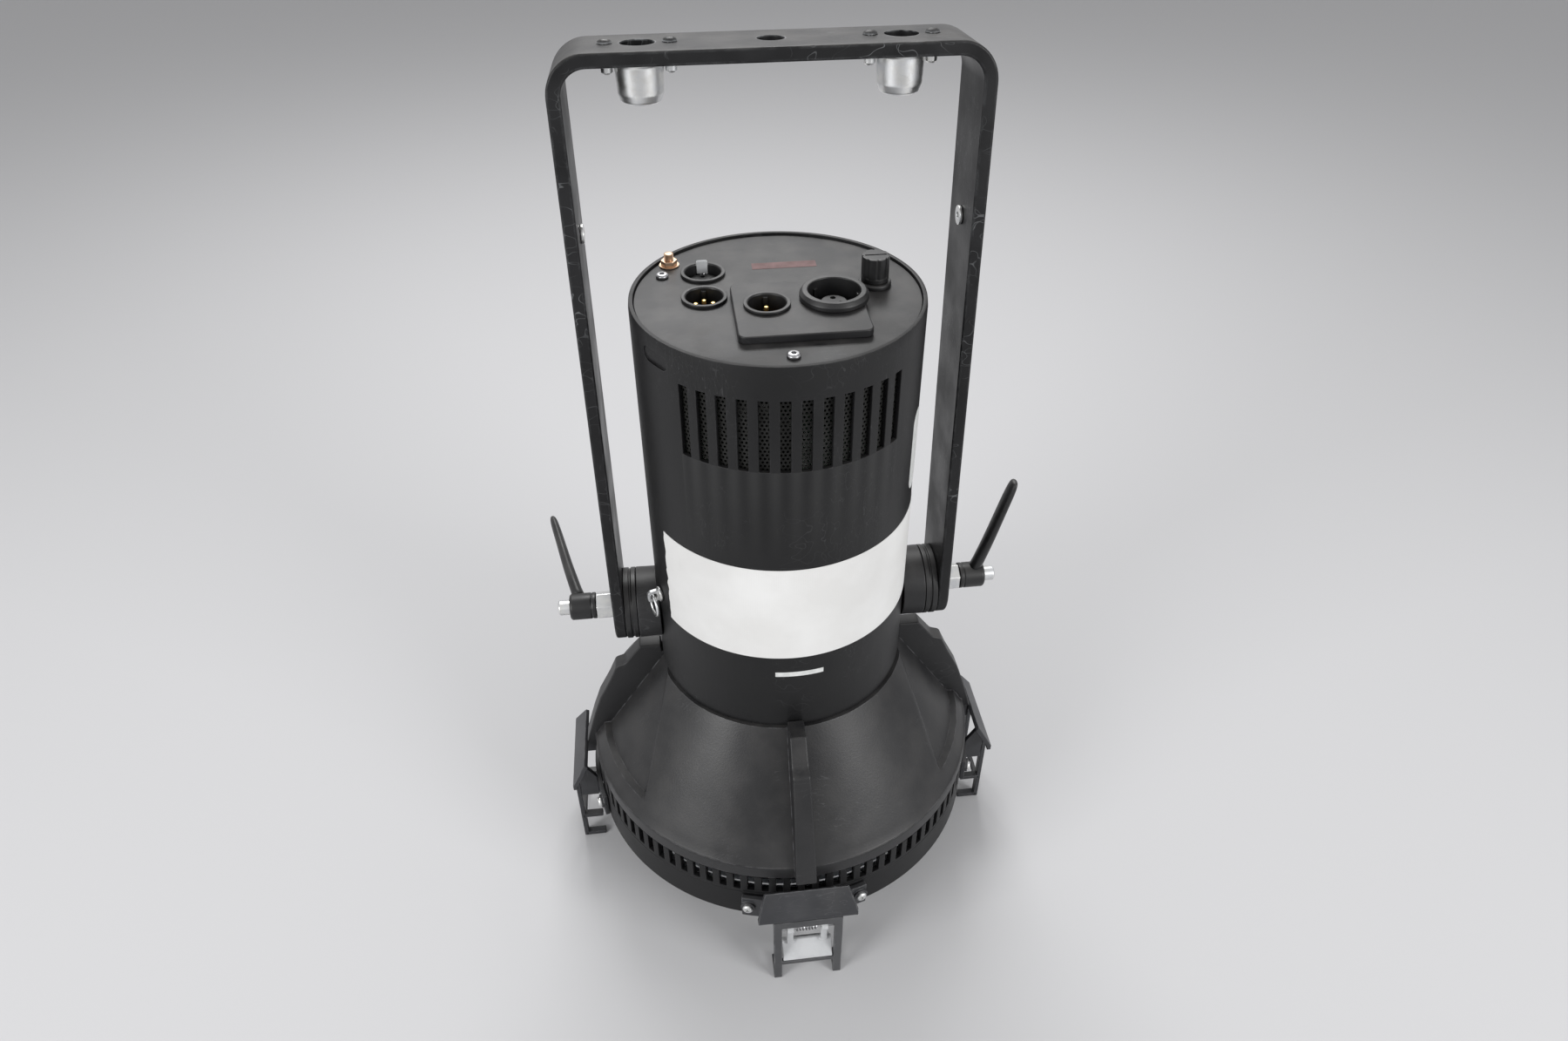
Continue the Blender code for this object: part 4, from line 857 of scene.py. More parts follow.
def ventComb():
    # The comb's darker coat is painted shade
    finish = "ringCoatPaintedShade"
    outside, inside = comb["radius"], comb["radius"] - comb["wall"]
    floor = tubeShape(inside, outside, comb["low"], comb["floor"], 180, reach=comb["toothEdge"])
    pitch = 360 / comb["teeth"]
    toothAngles = [i * pitch / 4 for i in range(3)]
    levels = [comb["floor"] - 0.0004, comb["high"]]
    tooth = wallShape(toothAngles, [(outside, z) for z in levels], [(inside, z) for z in levels], wraps=False)
    teeth = copies(eased(tooth, comb["toothEdge"]), finish, comb["teeth"], 0, pitch)
    newPiece("ventComb", joined(floor, teeth), finish, "vent_comb")


def lampFront():
    # The front ring's darker coat is painted shade
    finish = "ringCoatPaintedShade"
    outside, inside, low, lip = comb["radius"], comb["radius"] - comb["wall"], frontRing["low"], frontRing["lip"]
    profile = [(outside - 0.001, low), (outside, low + 0.001), (outside, frontRing["high"]),
        (inside, frontRing["high"]), (inside, low + 0.006), (lip, low + 0.006), (lip, low + 0.003),
        (inside - 0.001, low + 0.0015), (inside - 0.001, low)]
    newPiece("frontRing", turnedShape(profile, 180, ring=True, reach=frontRing["edge"]), finish, "front_ring")


# Light path behind the glass
optics = {"room": 0.1212, "glassLow": 0.050, "glassHigh": 0.054, "mouth": 0.112, "throat": 0.027, "bowlLow": 0.0572,
    "bowlHigh": 0.170, "bowlWall": 0.0012}


def lightPath():
    room, glassTop = optics["room"], optics["glassHigh"]
    newPiece("frontGlass", rodShape(room - 0.0006, optics["glassLow"], glassTop, 160, reach=0.0005), "clearGlass",
        "front_glass")
    seal = tubeShape(0.1130, room - 0.001, 0.0473, 0.0497, 120, reach=0.0006)
    newPiece("glassSeal", seal, "blackRubber", "glass_seal")
    retainer = [(0.1135, 0.0543), (room, 0.0543), (room, 0.0605), (room - 0.002, 0.0605), (room - 0.002, 0.0565),
        (0.1135, 0.0565)]
    newPiece("glassRetainer", turnedShape(retainer, 140, ring=True, reach=0.0003), "milledAluminium", "glass_retainer")
    rows, high, low = 16, optics["bowlHigh"], optics["bowlLow"]
    bowl = []
    for i in range(rows + 1):
        rise = i / rows
        bowl.append((optics["mouth"] + (optics["throat"] - optics["mouth"]) * (1 - (1 - rise) ** 0.8),
            low + (high - low) * rise))
    outside = [(r + optics["bowlWall"], z) for r, z in reversed(bowl)]
    flange = [(optics["throat"], high + 0.0015), (optics["throat"] + 0.008, high + 0.0015),
        (optics["throat"] + 0.008, high + 0.0003)]
    newPiece("reflectorBowl", turnedShape(bowl + flange + outside, 144, ring=True), "mirrorFoil", "reflector")
    dome = [(0, 0.1675), (0.008, 0.1678), (0.014, 0.1687), (0.019, 0.1703), (0.0216, 0.1722), (0.0220, 0.1735),
        (0, 0.1735)]
    newPiece("ledDome", turnedShape(dome, 64), "phosphorYellow", "led_array")
    newPiece("ledBoard", rodShape(0.034, 0.1738, 0.1754, 96, reach=0.0003), "boardGreen", "led_board")


# Cooling inside the tube
cooler = {"baseLow": 0.1757, "baseHigh": 0.1835, "finTop": 0.2480, "fins": 20, "root": 0.020, "tip": 0.058,
    "finHalf": 0.0010, "baseRadius": 0.0685}


def heatSink():
    finish = "milledAluminium"
    fin = eased(boxShape((cooler["root"], -cooler["finHalf"], cooler["baseHigh"] - 0.001),
        (cooler["tip"], cooler["finHalf"], cooler["finTop"])), 0.0004)
    fins = copies(fin, finish, cooler["fins"], 0, 360 / cooler["fins"])
    core = rodShape(cooler["root"] + 0.002, cooler["baseHigh"] - 0.001, cooler["finTop"], 48, reach=0.0008)
    base = rodShape(cooler["baseRadius"], cooler["baseLow"], cooler["baseHigh"], 120, reach=0.0006)
    newPiece("heatSink", joined(base, core, fins), finish, "heat_sink")


# Accessory holders
holder = {"inner": 0.1253, "reach": 0.142, "half": 0.021, "footHalf": 17.5, "footLow": 0.044, "footHigh": 0.062,
    "earAt": 15.6, "earHeight": 0.0545, "edge": 0.0005, "hoodLow": 0.0660, "hoodHigh": 0.0800, "hoodHalf": 0.0300,
    "hoodTaper": 0.0052}


def latchWindow():
    # The plate with a window that each holder shows outwards
    half, edge = holder["half"], holder["edge"]
    place = shifted(0, 0.0032 - holder["reach"], 0) @ toFront
    plate = plateShape([(-half, 0), (-half, 0.061), (half, 0.061), (half, 0), (half - 0.005, 0),
        (half - 0.005, 0.0145), (0.005 - half, 0.0145), (0.005 - half, 0)], 0, 0.003, place)
    window = plateShape(softCorners([(0.005 - half, 0.0178), (half - 0.005, 0.0178), (half - 0.005, 0.0550),
        (0.005 - half, 0.0550)], 0.0012), -0.002, 0.005, place)
    return eased(carved(plate, [window]), edge)


def holderShape(lipLows):
    inner, reach, half, edge = holder["inner"], holder["reach"], holder["half"], holder["edge"]
    angles = [-90 - holder["footHalf"] + holder["footHalf"] * 2 * i / 14 for i in range(15)]
    levels = (holder["footLow"], holder["footHigh"])
    foot = wallShape(angles, [(inner + 0.003, z) for z in levels], [(inner, z) for z in levels], wraps=False)
    parts = [eased(foot, edge)]
    for side in (-1, 1):
        place = around(side * holder["earAt"]) @ shifted(0, 0, holder["earHeight"]) @ toFront
        parts.append(turnedShape([(0, inner + 0.001), (0.0045, inner + 0.001), (0.0045, inner + 0.0045),
            (0, inner + 0.0045)], 32, place, reach=0.0006))
        cheek = softCorners([(inner + 0.0015, 0.0440), (reach - 0.001, 0.0440), (reach - 0.001, 0.0640),
            (0.1345, 0.0750), (inner + 0.0015, 0.0620)], 0.0012)
        near, far = side * (half - 0.0035), side * (half - 0.0005)
        parts.append(eased(loftShape([[(x, -r, z) for r, z in cheek] for x in (near, far)]), edge, 2, 50))
        lowX, highX = sorted((side * half, side * (half - 0.0048)))
        for low in lipLows:
            parts.append(eased(boxShape((lowX, 0.0010 - reach, low), (highX, -0.1270, low + 0.0028)), edge))
    hoodLow, hoodHigh = holder["hoodLow"], holder["hoodHigh"]
    hood = [(0.1332, hoodHigh), (reach, hoodLow), (reach, 0.0622), (0.1392, 0.0622), (0.1392, 0.0650), (0.1310, 0.0778)]

    def halfAt(z):
        return holder["hoodHalf"] - holder["hoodTaper"] * (max(z, hoodLow) - hoodLow) / (hoodHigh - hoodLow)

    sides = [[(side * halfAt(z), -r, z) for r, z in hood] for side in (-1, 1)]
    parts.append(eased(loftShape(sides), edge))
    return joined(*parts)


def holderScrews():
    # A pan head with a hex recess on each ear, on all four holders
    finish = "zincPlate"
    reach = holder["inner"] + 0.0045
    head = carved(turnedShape([(0, reach - 0.001), (0.0032, reach - 0.001), (0.0032, reach + 0.0009),
        (0.0024, reach + 0.0018), (0, reach + 0.0019)], 28, reach=0.0004),
        [rodShape(0.0013, reach + 0.0006, reach + 0.004, 6)])
    head.transform(shifted(0, 0, holder["earHeight"]) @ toFront)
    pair = copies(head, finish, 2, -holder["earAt"], 2 * holder["earAt"])
    newPiece("holderScrews", copies(pair, finish, 4, 0, 90), finish)


def accessoryHolders():
    # The holders' lighter coat is painted light
    finish = "holderCoatPaintedLight"
    newPiece("frontHolder", holderShape((0.0002,)), finish, "holder_front", sharp=45)
    newPiece("frontWindow", latchWindow(), "frameCoat", sharp=45)
    for name, turn in (("right", 90), ("back", 180), ("left", 270)):
        shape = joined(holderShape((0.0002, 0.0200)), latchWindow())
        shape.transform(around(turn))
        newPiece(name + "Holder", shape, finish, "holder_" + name, sharp=45)
    holderScrews()


# Sprung latch in the front holder
latch = {"pinY": -0.1370, "pinZ": 0.047, "halfWidth": 0.0152, "knuckle": 0.0029, "armNear": 0.0085, "armFar": 0.0125}


def accessoryLatch():
    y, z, half = latch["pinY"], latch["pinZ"], latch["halfWidth"]
    thumb = [(-0.1352, 0.0310), (-0.1417, 0.0200), (-0.1417, 0.0188), (-0.1375, 0.0188), (-0.1275, 0.0200),
        (-0.1275, 0.0225), (-0.1335, 0.0235), (-0.1335, 0.0310)]
    parts = [eased(loftShape([[(x, py, pz) for py, pz in thumb] for x in (-half, half)]), 0.0004)]
    for side in (-1, 1):
        near, far = sorted((side * latch["armNear"], side * latch["armFar"]))
        parts.append(eased(boxShape((near, -0.1372, 0.0300), (far, -0.1345, 0.0470)), 0.0004))
        parts.append(tubeShape(0.0013, latch["knuckle"], near, far, 32, shifted(0, y, z) @ toSide, 0.0003))
        parts.append(rodShape(0.0018, -0.0004, 0.0016, 24, shifted(side * 0.0088, -0.1352, 0.0306) @ toFront, 0.0005))
    newPiece("accessoryLatch", joined(*parts), "greyPlastic", "accessory_latch", body="latch")
    newPiece("latchPin", rodShape(0.0010, -0.0207, 0.0207, 24, shifted(0, y, z) @ toSide, 0.0003), "plainSteel",
        "latch_pin")
    coil = grown("coil", rodShape(0.001, 0, 0.001, 8), "plainSteel", {
        "Turns": 7.0, "Radius": 0.0019, "Wire": 0.00035, "Length": 0.0130})
    coil.transform(shifted(-0.0065, y, z) @ toSide)
    newPiece("latchSpring", coil, "plainSteel")


# Pivots beside the tube
pivot = {"height": 0.199, "disc": 0.0215, "bolt": 0.0045}


def pivots():
    bolt, disc = pivot["bolt"], pivot["disc"]
    for name, turn in (("right", 0), ("left", 180)):
        side = around(turn) @ shifted(0, 0, pivot["height"]) @ toSide
        boss = [(0.0120, 0.0735), (disc - 0.0002, 0.0735), (disc - 0.0002, 0.0780), (disc, 0.0870),
            (disc - 0.004, 0.0870), (disc - 0.005, 0.0862), (bolt + 0.003, 0.0862), (bolt + 0.002, 0.0870),
            (bolt, 0.0870), (bolt, 0.0780), (0.0120, 0.0780)]
        tubeCut = rodShape(tube["radius"] + 0.0002, -0.05, 0.05, 138, around(turn) @ shifted(0, 0, pivot["height"]))
        shape = carved(turnedShape(boss, 72, side, ring=True, reach=0.0006), [tubeCut])
        newPiece("pivotBoss" + name.title(), shape, "castingCoat", "pivot_boss_" + name)
        plates = [(bolt, 0.0873), (disc, 0.0873), (disc, 0.0900), (disc - 0.0008, 0.0903), (disc - 0.0008, 0.0912),
            (disc, 0.0915), (disc, 0.0946), (bolt, 0.0946)]
        newPiece("frictionDisc" + name.title(), turnedShape(plates, 72, side, ring=True, reach=0.0003), "blackPlastic",
            "friction_disc_" + name)


# Clamp studs, levers and the screws that hold them
clamp = {"bolt": 0.004, "collarLow": 0.1018, "collarHigh": 0.1120, "studEnd": 0.1236, "hubLow": 0.1123,
    "hubHigh": 0.1280, "turns": {"right": 0, "left": 77}}
leverRun = [(0.0060, 0.1222, 0.0050, 0.0044), (0.0090, 0.1236, 0.0044, 0.0038), (0.0160, 0.1256, 0.0046, 0.0036),
    (0.0280, 0.1290, 0.0048, 0.0034), (0.0400, 0.1320, 0.0049, 0.0031), (0.0540, 0.1354, 0.0050, 0.0029),
    (0.0640, 0.1380, 0.0049, 0.0027), (0.0690, 0.1392, 0.0043, 0.0023), (0.0711, 0.1398, 0.0028, 0.0014)]


def clampSets():
    bolt = clamp["bolt"]
    for name, turn in (("right", 0), ("left", 180)):
        side = around(turn) @ shifted(0, 0, pivot["height"])
        stud = rodShape(bolt - 0.0004, 0.0785, clamp["studEnd"], 32, reach=0.0005)
        ridge = turnedShape([(bolt - 0.0006, -0.0004), (bolt, 0), (bolt - 0.0006, 0.0004)], 32, ring=True)
        threads = copies(ridge, "zincPlate", 12, 0, 0, 0.0010)
        threads.transform(shifted(0, 0, 0.1122))
        collar = eased(rodShape(0.0085, clamp["collarLow"], clamp["collarHigh"], 6), 0.0006, 2, 50)
        hexCut = turnedShape([(0.0080, clamp["collarHigh"] + 0.0002), (0.0105, clamp["collarHigh"] - 0.0014),
            (0.0105, clamp["collarHigh"] + 0.0002)], 48, ring=True)
        whole = joined(stud, threads, carved(collar, [hexCut]))
        whole.transform(side @ toSide)
        newPiece("clampStud" + name.title(), whole, "zincPlate", "clamp_stud_" + name, body="stud_" + name)

        hub = turnedShape([(0.0045, clamp["hubLow"]), (0.0080, clamp["hubLow"]), (0.0080, 0.1142), (0.0077, 0.1146),
            (0.0077, 0.1151), (0.0080, 0.1155), (0.0080, 0.1268), (0.0071, clamp["hubHigh"]),
            (0.0053, clamp["hubHigh"]), (0.0053, 0.1205), (0.0045, 0.1205)], 64, toSide, ring=True, reach=0.0005)
        sections = []
        for z, x, halfY, halfX in leverRun:
            sections.append([(x + halfX * across, halfY * along, z) for across, along in circlePoints(1.0, 20)])
        handle = stepObject(loftShape(sections))
        soften = handle.modifiers.new("soften", "SUBSURF")
        soften.levels = soften.render_levels = 1
        lever = joined(hub, plainResult(handle))
        lever.transform(side @ Matrix.Rotation(math.radians(clamp["turns"][name]), 4, "X"))
        newPiece("clampLever" + name.title(), lever, "blackPlastic", "clamp_lever_" + name, body="lever_" + name,
            sharp=50)

        head = turnedShape([(0, 0.1150), (0.0025, 0.1150), (0.0025, 0.1239), (0.0046, 0.1239), (0.0046, 0.1342),
            (0.0038, 0.1350), (0, 0.1350)], 40, reach=0.0003)
        screw = carved(head, [rodShape(0.0022, 0.1318, 0.1360, 6)])
        screw.transform(side @ toSide)
        newPiece("leverScrew" + name.title(), screw, "zincPlate", "lever_screw_" + name, body="stud_" + name)


# Yoke, bent from one flat bar
yoke = {"half": 0.1015, "thick": 0.0066, "bar": 0.042, "high": 0.3156, "bend": 0.0153, "lean": 4.12, "edge": 0.0011,
    "insertAt": 0.230, "receptacleAt": 0.060, "rivetAt": 0.0145, "clampHole": 0.0065, "receptacleHole": 0.0080}
leaning = shifted(0, 0, pivot["height"]) @ Matrix.Rotation(-math.radians(yoke["lean"]), 4, "X")


def yokeBar():
    middleX, middleZ = yoke["half"] - yoke["thick"] / 2, yoke["high"] - yoke["thick"] / 2
    halfBar, bend, out = yoke["bar"] / 2, yoke["bend"], yoke["thick"] / 2
    stations = []
    for i in range(15):
        angle = math.radians(86 - 86 * i / 14)
        stations.append((middleX, -halfBar * math.sin(angle), 1.0, 0.0, halfBar * math.cos(angle)))
    for i in range(15):
        angle = math.pi / 2 * i / 14
        stations.append((middleX - bend + bend * math.cos(angle), middleZ - bend + bend * math.sin(angle),
            math.cos(angle), math.sin(angle), halfBar))
    stations += [(-x, z, -nx, nz, half) for x, z, nx, nz, half in reversed(stations)]
    sections = []
    for x, z, nx, nz, half in stations:
        sections.append([(x + nx * out, -half, z + nz * out), (x + nx * out, half, z + nz * out),
            (x - nx * out, half, z - nz * out), (x - nx * out, -half, z - nz * out)])
    low, high = yoke["high"] - 0.010, yoke["high"] + 0.004
    cuts = [rodShape(pivot["bolt"], -0.110, 0.110, 40, toSide), rodShape(yoke["clampHole"], low, high, 48)]
    for x in (-yoke["receptacleAt"], yoke["receptacleAt"]):
        cuts.append(rodShape(yoke["receptacleHole"], low, high, 48, shifted(x, 0)))
        cuts += [rodShape(0.0023, low, high, 24, shifted(x + end * yoke["rivetAt"], 0)) for end in (-1, 1)]
    cuts.append(rodShape(0.0035, -0.110, 0.110, 32, shifted(0, 0, yoke["insertAt"]) @ toSide))
    bar = loftShape(sections)
    # One face per flat side, so the rounding can't fold over itself at the arms' ends
    bmesh.ops.dissolve_limit(bar, angle_limit=math.radians(0.5), verts=bar.verts, edges=bar.edges)
    bar = carved(eased(bar, yoke["edge"], 3, 40), cuts)
    bar.transform(leaning)
    newPiece("yokeBar", bar, "yokeCoat", "yoke", body="yoke", sharp=40)


def receptacles():
    finish = "zincPlate"
    top = yoke["high"] - yoke["thick"] - 0.0003
    outline = []
    for radius, centre, start, end in ((0.0050, yoke["rivetAt"], -60, 60), (0.0125, 0.0, 65, 115),
            (0.0050, -yoke["rivetAt"], 120, 240), (0.0125, 0.0, 245, 295)):
        for i in range(11):
            angle = math.radians(start + (end - start) * i / 10)
            outline.append((centre + radius * math.cos(angle), radius * math.sin(angle)))
    for name, side in (("left", -1), ("right", 1)):
        flange = carved(plateShape(outline, top - 0.0015, top), [rodShape(0.0100, top - 0.003, top + 0.002, 40)])
        cup = turnedShape([(0, top - 0.0190), (0.0070, top - 0.0189), (0.0094, top - 0.0176), (0.0106, top - 0.0142),
            (0.0112, top - 0.0022), (0.0118, top - 0.0012), (0.0118, top - 0.0002), (0.0086, top - 0.0002),
            (0.0085, top - 0.0040), (0.0076, top - 0.0044), (0.0076, top - 0.0062), (0.0085, top - 0.0066),
            (0.0085, top - 0.0165), (0, top - 0.0165)], 56, reach=0.0005)
        high = yoke["high"] + 0.0003
        rivet = turnedShape([(0, top - 0.0062), (0.0018, top - 0.0060), (0.0027, top - 0.0051), (0.0029, top - 0.0016),
            (0.0020, top - 0.0013), (0.0020, high), (0, high)], 28)
        rivetHead = turnedShape([(0, high), (0.0035, high), (0.0031, high + 0.0008), (0.0018, high + 0.0015),
            (0, high + 0.0016)], 28)
        for shape in (rivet, rivetHead):
            shape.transform(shifted(yoke["rivetAt"], 0))
        heads = copies(rivetHead, "yokeCoat", 2, 0, 180)
        heads.transform(leaning @ shifted(side * yoke["receptacleAt"], 0))
        newPiece("rivetHeads" + name.title(), heads, "yokeCoat", body="yoke")
        whole = joined(eased(flange, 0.0003), cup, copies(rivet, finish, 2, 0, 180))
        whole.transform(leaning @ shifted(side * yoke["receptacleAt"], 0))
        newPiece("receptacle" + name.title(), whole, finish, "receptacle_" + name, body="yoke")
        insert = turnedShape([(0.0016, 0.0932), (0.0048, 0.0932), (0.0048, 0.0946), (0.0031, 0.0946), (0.0031, 0.1012),
            (0.0016, 0.1012)], 40, ring=True, reach=0.0003)
        insert.transform(leaning @ around(0 if side > 0 else 180) @ shifted(0, 0, yoke["insertAt"]) @ toSide)
        newPiece("yokeInsert" + name.title(), insert, finish, "yoke_insert_" + name, body="yoke")


# Rear panel
panel = {"low": 0.3960, "top": 0.3985, "radius": 0.0722, "seat": 0.3988, "plateTop": 0.4028, "plateSeat": 0.4031,
    "socket": 0.0106, "flange": 0.0116, "bore": 0.0093, "depth": 0.015, "dataIn": (-0.0370, 0.0),
    "dataOut": (-0.0360, 0.0280), "control": (-0.0075, -0.0190), "inlet": (0.0260, -0.0150), "fuse": (0.0500, 0.0050),
    "earth": (-0.0530, 0.0400), "screwsAt": (0, 115, 245), "screwRadius": 0.063, "socketHole": 0.0109,
    "inletHole": 0.0150, "fuseHole": 0.0068, "earthHole": 0.0030, "screwHole": 0.0020, "plateInletHole": 0.0151,
    "past": 0.002}


def rearPanel():
    low, top = panel["low"], panel["top"]
    holes = (("dataIn", "socketHole"), ("dataOut", "socketHole"), ("control", "socketHole"), ("inlet", "inletHole"),
        ("fuse", "fuseHole"), ("earth", "earthHole"))
    cutLow, cutHigh = low - panel["past"], top + panel["past"]
    cuts = [rodShape(panel[hole], cutLow, cutHigh, 48, shifted(*panel[spot])) for spot, hole in holes]
    for angle in panel["screwsAt"]:
        place = around(angle) @ shifted(0, -panel["screwRadius"])
        cuts.append(rodShape(panel["screwHole"], cutLow, cutHigh, 24, place))
    disc = rodShape(panel["radius"], low, top, 168, reach=0.0004)
    newPiece("rearPanel", carved(disc, cuts), "panelCoat", "rear_panel")
    seat = panel["seat"]
    head = carved(turnedShape([(0, -0.009), (0.0016, -0.009), (0.0016, 0), (0.0033, 0), (0.0033, 0.0011),
        (0.0026, 0.0018), (0, 0.0020)], 32, reach=0.0003), [rodShape(0.0014, 0.0007, 0.004, 6)])
    head.transform(shifted(0, -panel["screwRadius"], seat))
    for i, angle in enumerate(panel["screwsAt"]):
        screw = head.copy()
        screw.transform(around(angle))
        newPiece(f"panelScrew{i + 1}", screw, "plainSteel", f"panel_screw_{i + 1}")
    head.free()

    corners = []
    for i, (x, y) in enumerate([(-0.020, -0.046), (0.036, -0.046), (0.036, 0.0015), (-0.020, 0.0015)]):
        for k in range(9):
            angle = math.pi + math.pi / 2 * (i + k / 8)
            corners.append((x + 0.004 * math.cos(angle), y + 0.004 * math.sin(angle)))
    cutLow, cutHigh = seat - panel["past"], panel["plateTop"] + panel["past"]
    cuts = [rodShape(panel["socketHole"], cutLow, cutHigh, 56, shifted(*panel["control"])),
        rodShape(panel["plateInletHole"], cutLow, cutHigh, 64, shifted(*panel["inlet"]))]
    plate = carved(plateShape(corners, seat, panel["plateTop"]), cuts)
    newPiece("connectorPlate", plate, "panelCoat", "connector_plate", edge=0.0007)


def socketBody(seat):
    floor, top = seat - panel["depth"], seat + 0.0014
    socket, flange, bore = panel["socket"], panel["flange"], panel["bore"]
    return turnedShape([(0, floor - 0.002), (socket, floor - 0.002), (socket, seat), (flange, seat), (flange, top),
        (bore + 0.0006, top), (bore, top - 0.0006), (bore, floor), (0, floor)], 64, reach=0.0003)


def contactPins(count, circle, seat):
    floor = seat - panel["depth"] + 0.0003
    pin = turnedShape([(0, floor + 0.0006), (0.0013, floor + 0.0006), (0.0013, floor + 0.0104),
        (0.0010, floor + 0.0114), (0, floor + 0.0117)], 20, shifted(0, circle))
    return joined(rodShape(0.0087, floor, floor + 0.0012, 40), copies(pin, "goldPlate", count, 0, 360 / count))


def dataSockets():
    for name, spot, seat, count, circle in (("data_in", panel["dataIn"], panel["seat"], 5, 0.0046),
            ("control_in", panel["control"], panel["plateSeat"], 3, 0.0042)):
        key = boxShape((-0.0012, 0.0082, seat - panel["depth"]), (0.0012, 0.0096, seat - 0.0005))
        shell = joined(socketBody(seat), eased(key, 0.0003))
        shell.transform(shifted(*spot))
        title = "".join(word.title() for word in name.split("_"))
        newPiece("socket" + title, shell, "blackPlastic", name + "_socket")
        pins = contactPins(count, circle, seat)
        pins.transform(shifted(*spot))
        newPiece("contacts" + title, pins, "goldPlate", name + "_contacts")

    seat = panel["seat"]
    wells = copies(rodShape(0.0012, seat - 0.0115, seat - 0.004, 16, shifted(0, 0.0046)), "blackPlastic", 5, 0, 72)
    insert = carved(rodShape(0.0080, seat - 0.016, seat - 0.0040, 56, reach=0.0006), [wells])
    tabSlot = boxShape((-0.0033, 0.0070, seat - 0.0062), (0.0033, 0.0150, seat + 0.003))
    outlet = joined(carved(socketBody(seat), [tabSlot]), insert)
    outlet.transform(shifted(*panel["dataOut"]))
    newPiece("socketDataOut", outlet, "blackPlastic", "data_out_socket")
    x, y = panel["dataOut"]
    parts = [eased(boxShape((x - 0.0029, y + 0.0083, seat - 0.004), (x + 0.0029, y + 0.0102, seat + 0.0026)), 0.0003)]
    for i in range(3):
        ridge = y + 0.0085 + 0.0005 * i
        parts.append(eased(boxShape((x - 0.0025, ridge, seat + 0.0022), (x + 0.0025, ridge + 0.0003, seat + 0.0030)),
            0.0001))
    newPiece("releaseTab", joined(*parts), "greyPlastic", "data_release_tab", body="release_tab")


inlet = {"radius": 0.0147, "flange": 0.0172, "bore": 0.0130, "core": 0.0065, "coreSunk": 0.0065, "rise": 0.0042,
    "depth": 0.0150, "well": 0.0015, "wellsAt": 0.0036}


def powerInlet():
    seat = panel["plateSeat"]
    top, floor, coreTop = seat + inlet["rise"], seat - inlet["depth"], seat + inlet["rise"] - inlet["coreSunk"]
    radius, flange, bore, core = inlet["radius"], inlet["flange"], inlet["bore"], inlet["core"]
    body = turnedShape([(0, floor - 0.002), (radius, floor - 0.002), (radius, seat), (flange, seat),
        (flange, seat + 0.0022), (flange - 0.0014, top), (bore + 0.0004, top), (bore, top - 0.0004), (bore, floor),
        (core, floor), (core, coreTop), (0, coreTop)], 72, reach=0.0004)
    well = rodShape(inlet["well"], top - 0.0115, top - 0.004, 16, shifted(0, inlet["wellsAt"]))
    wells = copies(well, "blackPlastic", 3, 0, 120)
    key = eased(boxShape((-0.0012, 0.0118, floor), (0.0012, 0.0134, top - 0.004)), 0.0003)
    whole = joined(carved(body, [wells]), copies(key, "blackPlastic", 3, 40, 120))
    whole.transform(shifted(*panel["inlet"]))
    newPiece("powerInlet", whole, "blackPlastic", "power_inlet")


fuse = {"low": 0.3740, "floor": 0.3760, "radius": 0.0065, "flange": 0.0085, "bore": 0.0052, "link": 0.0025,
    "linkHigh": 0.3937, "knob": 0.0070, "knobRise": 0.0027, "knobHigh": 0.0132, "flutes": 8, "fluteDepth": 0.0007}


def fuseAndEarth():
    seat, place = panel["seat"], shifted(*panel["fuse"])
    radius, flange, bore, knobRadius = fuse["radius"], fuse["flange"], fuse["bore"], fuse["knob"]
    profile = [(0, fuse["low"]), (radius, fuse["low"]), (radius, seat), (flange, seat), (flange, seat + 0.0016),
        (flange - 0.0007, seat + 0.0024), (bore, seat + 0.0024), (bore, fuse["floor"]), (0, fuse["floor"])]
    newPiece("fuseHolder", turnedShape(profile, 56, place, reach=0.0003), "blackPlastic", "fuse_holder")
    link = rodShape(fuse["link"], fuse["floor"] + 0.0003, fuse["linkHigh"], 24, place, 0.0003)
    newPiece("fuseLink", link, "clearGlass", "fuse_link")
    knobLow = seat + fuse["knobRise"]
    rim = []
    for i in range(96):
        turn = fullTurn * i / 96
        dip = max(0.0, math.cos(fuse["flutes"] * turn) - 0.75) / 0.25
        reach = knobRadius - fuse["fluteDepth"] * dip
        rim.append((reach * math.cos(turn), reach * math.sin(turn)))
    grip = eased(plateShape(rim, knobLow + 0.0020, knobLow + fuse["knobHigh"]), 0.0005, 2, 50)
    skirt = rodShape(knobRadius, knobLow, knobLow + 0.0026, 56, reach=0.0004)
    stem = rodShape(0.0047, knobLow - 0.0075, knobLow + 0.001, 32, reach=0.0003)
    slot = boxShape((-0.0055, -0.0006, knobLow + 0.0118), (0.0055, 0.0006, knobLow + 0.015))
    knob = joined(carved(grip, [slot]), skirt, stem)
    knob.transform(place)
    newPiece("fuseCap", knob, "blackPlastic", "fuse_cap", body="fuse_cap")

    stud = rodShape(0.0022, panel["low"], seat + 0.0068, 28, reach=0.0005)
    ridge = turnedShape([(0.0020, -0.0003), (0.0025, 0), (0.0020, 0.0003)], 28, ring=True)
    threads = copies(ridge, "turnedBrass", 6, 0, 0, 0.0006)
    threads.transform(shifted(0, 0, seat + 0.0035))
    washer = tubeShape(0.0020, 0.0052, seat, seat + 0.0005, 36)
    nut = eased(rodShape(0.0044, seat + 0.0005, seat + 0.0032, 6), 0.0004, 2, 50)
    whole = joined(stud, threads, washer, nut)
    whole.transform(shifted(*panel["earth"]))
    newPiece("earthStud", whole, "turnedBrass", "earth_stud")


# Lug and wire ring for a safety cable
lug = {"reach": 0.0800, "bore": 0.0020, "half": 0.0040, "thickHalf": 0.0010, "ring": 0.0065, "wire": 0.0009,
    "tip": 0.0835}


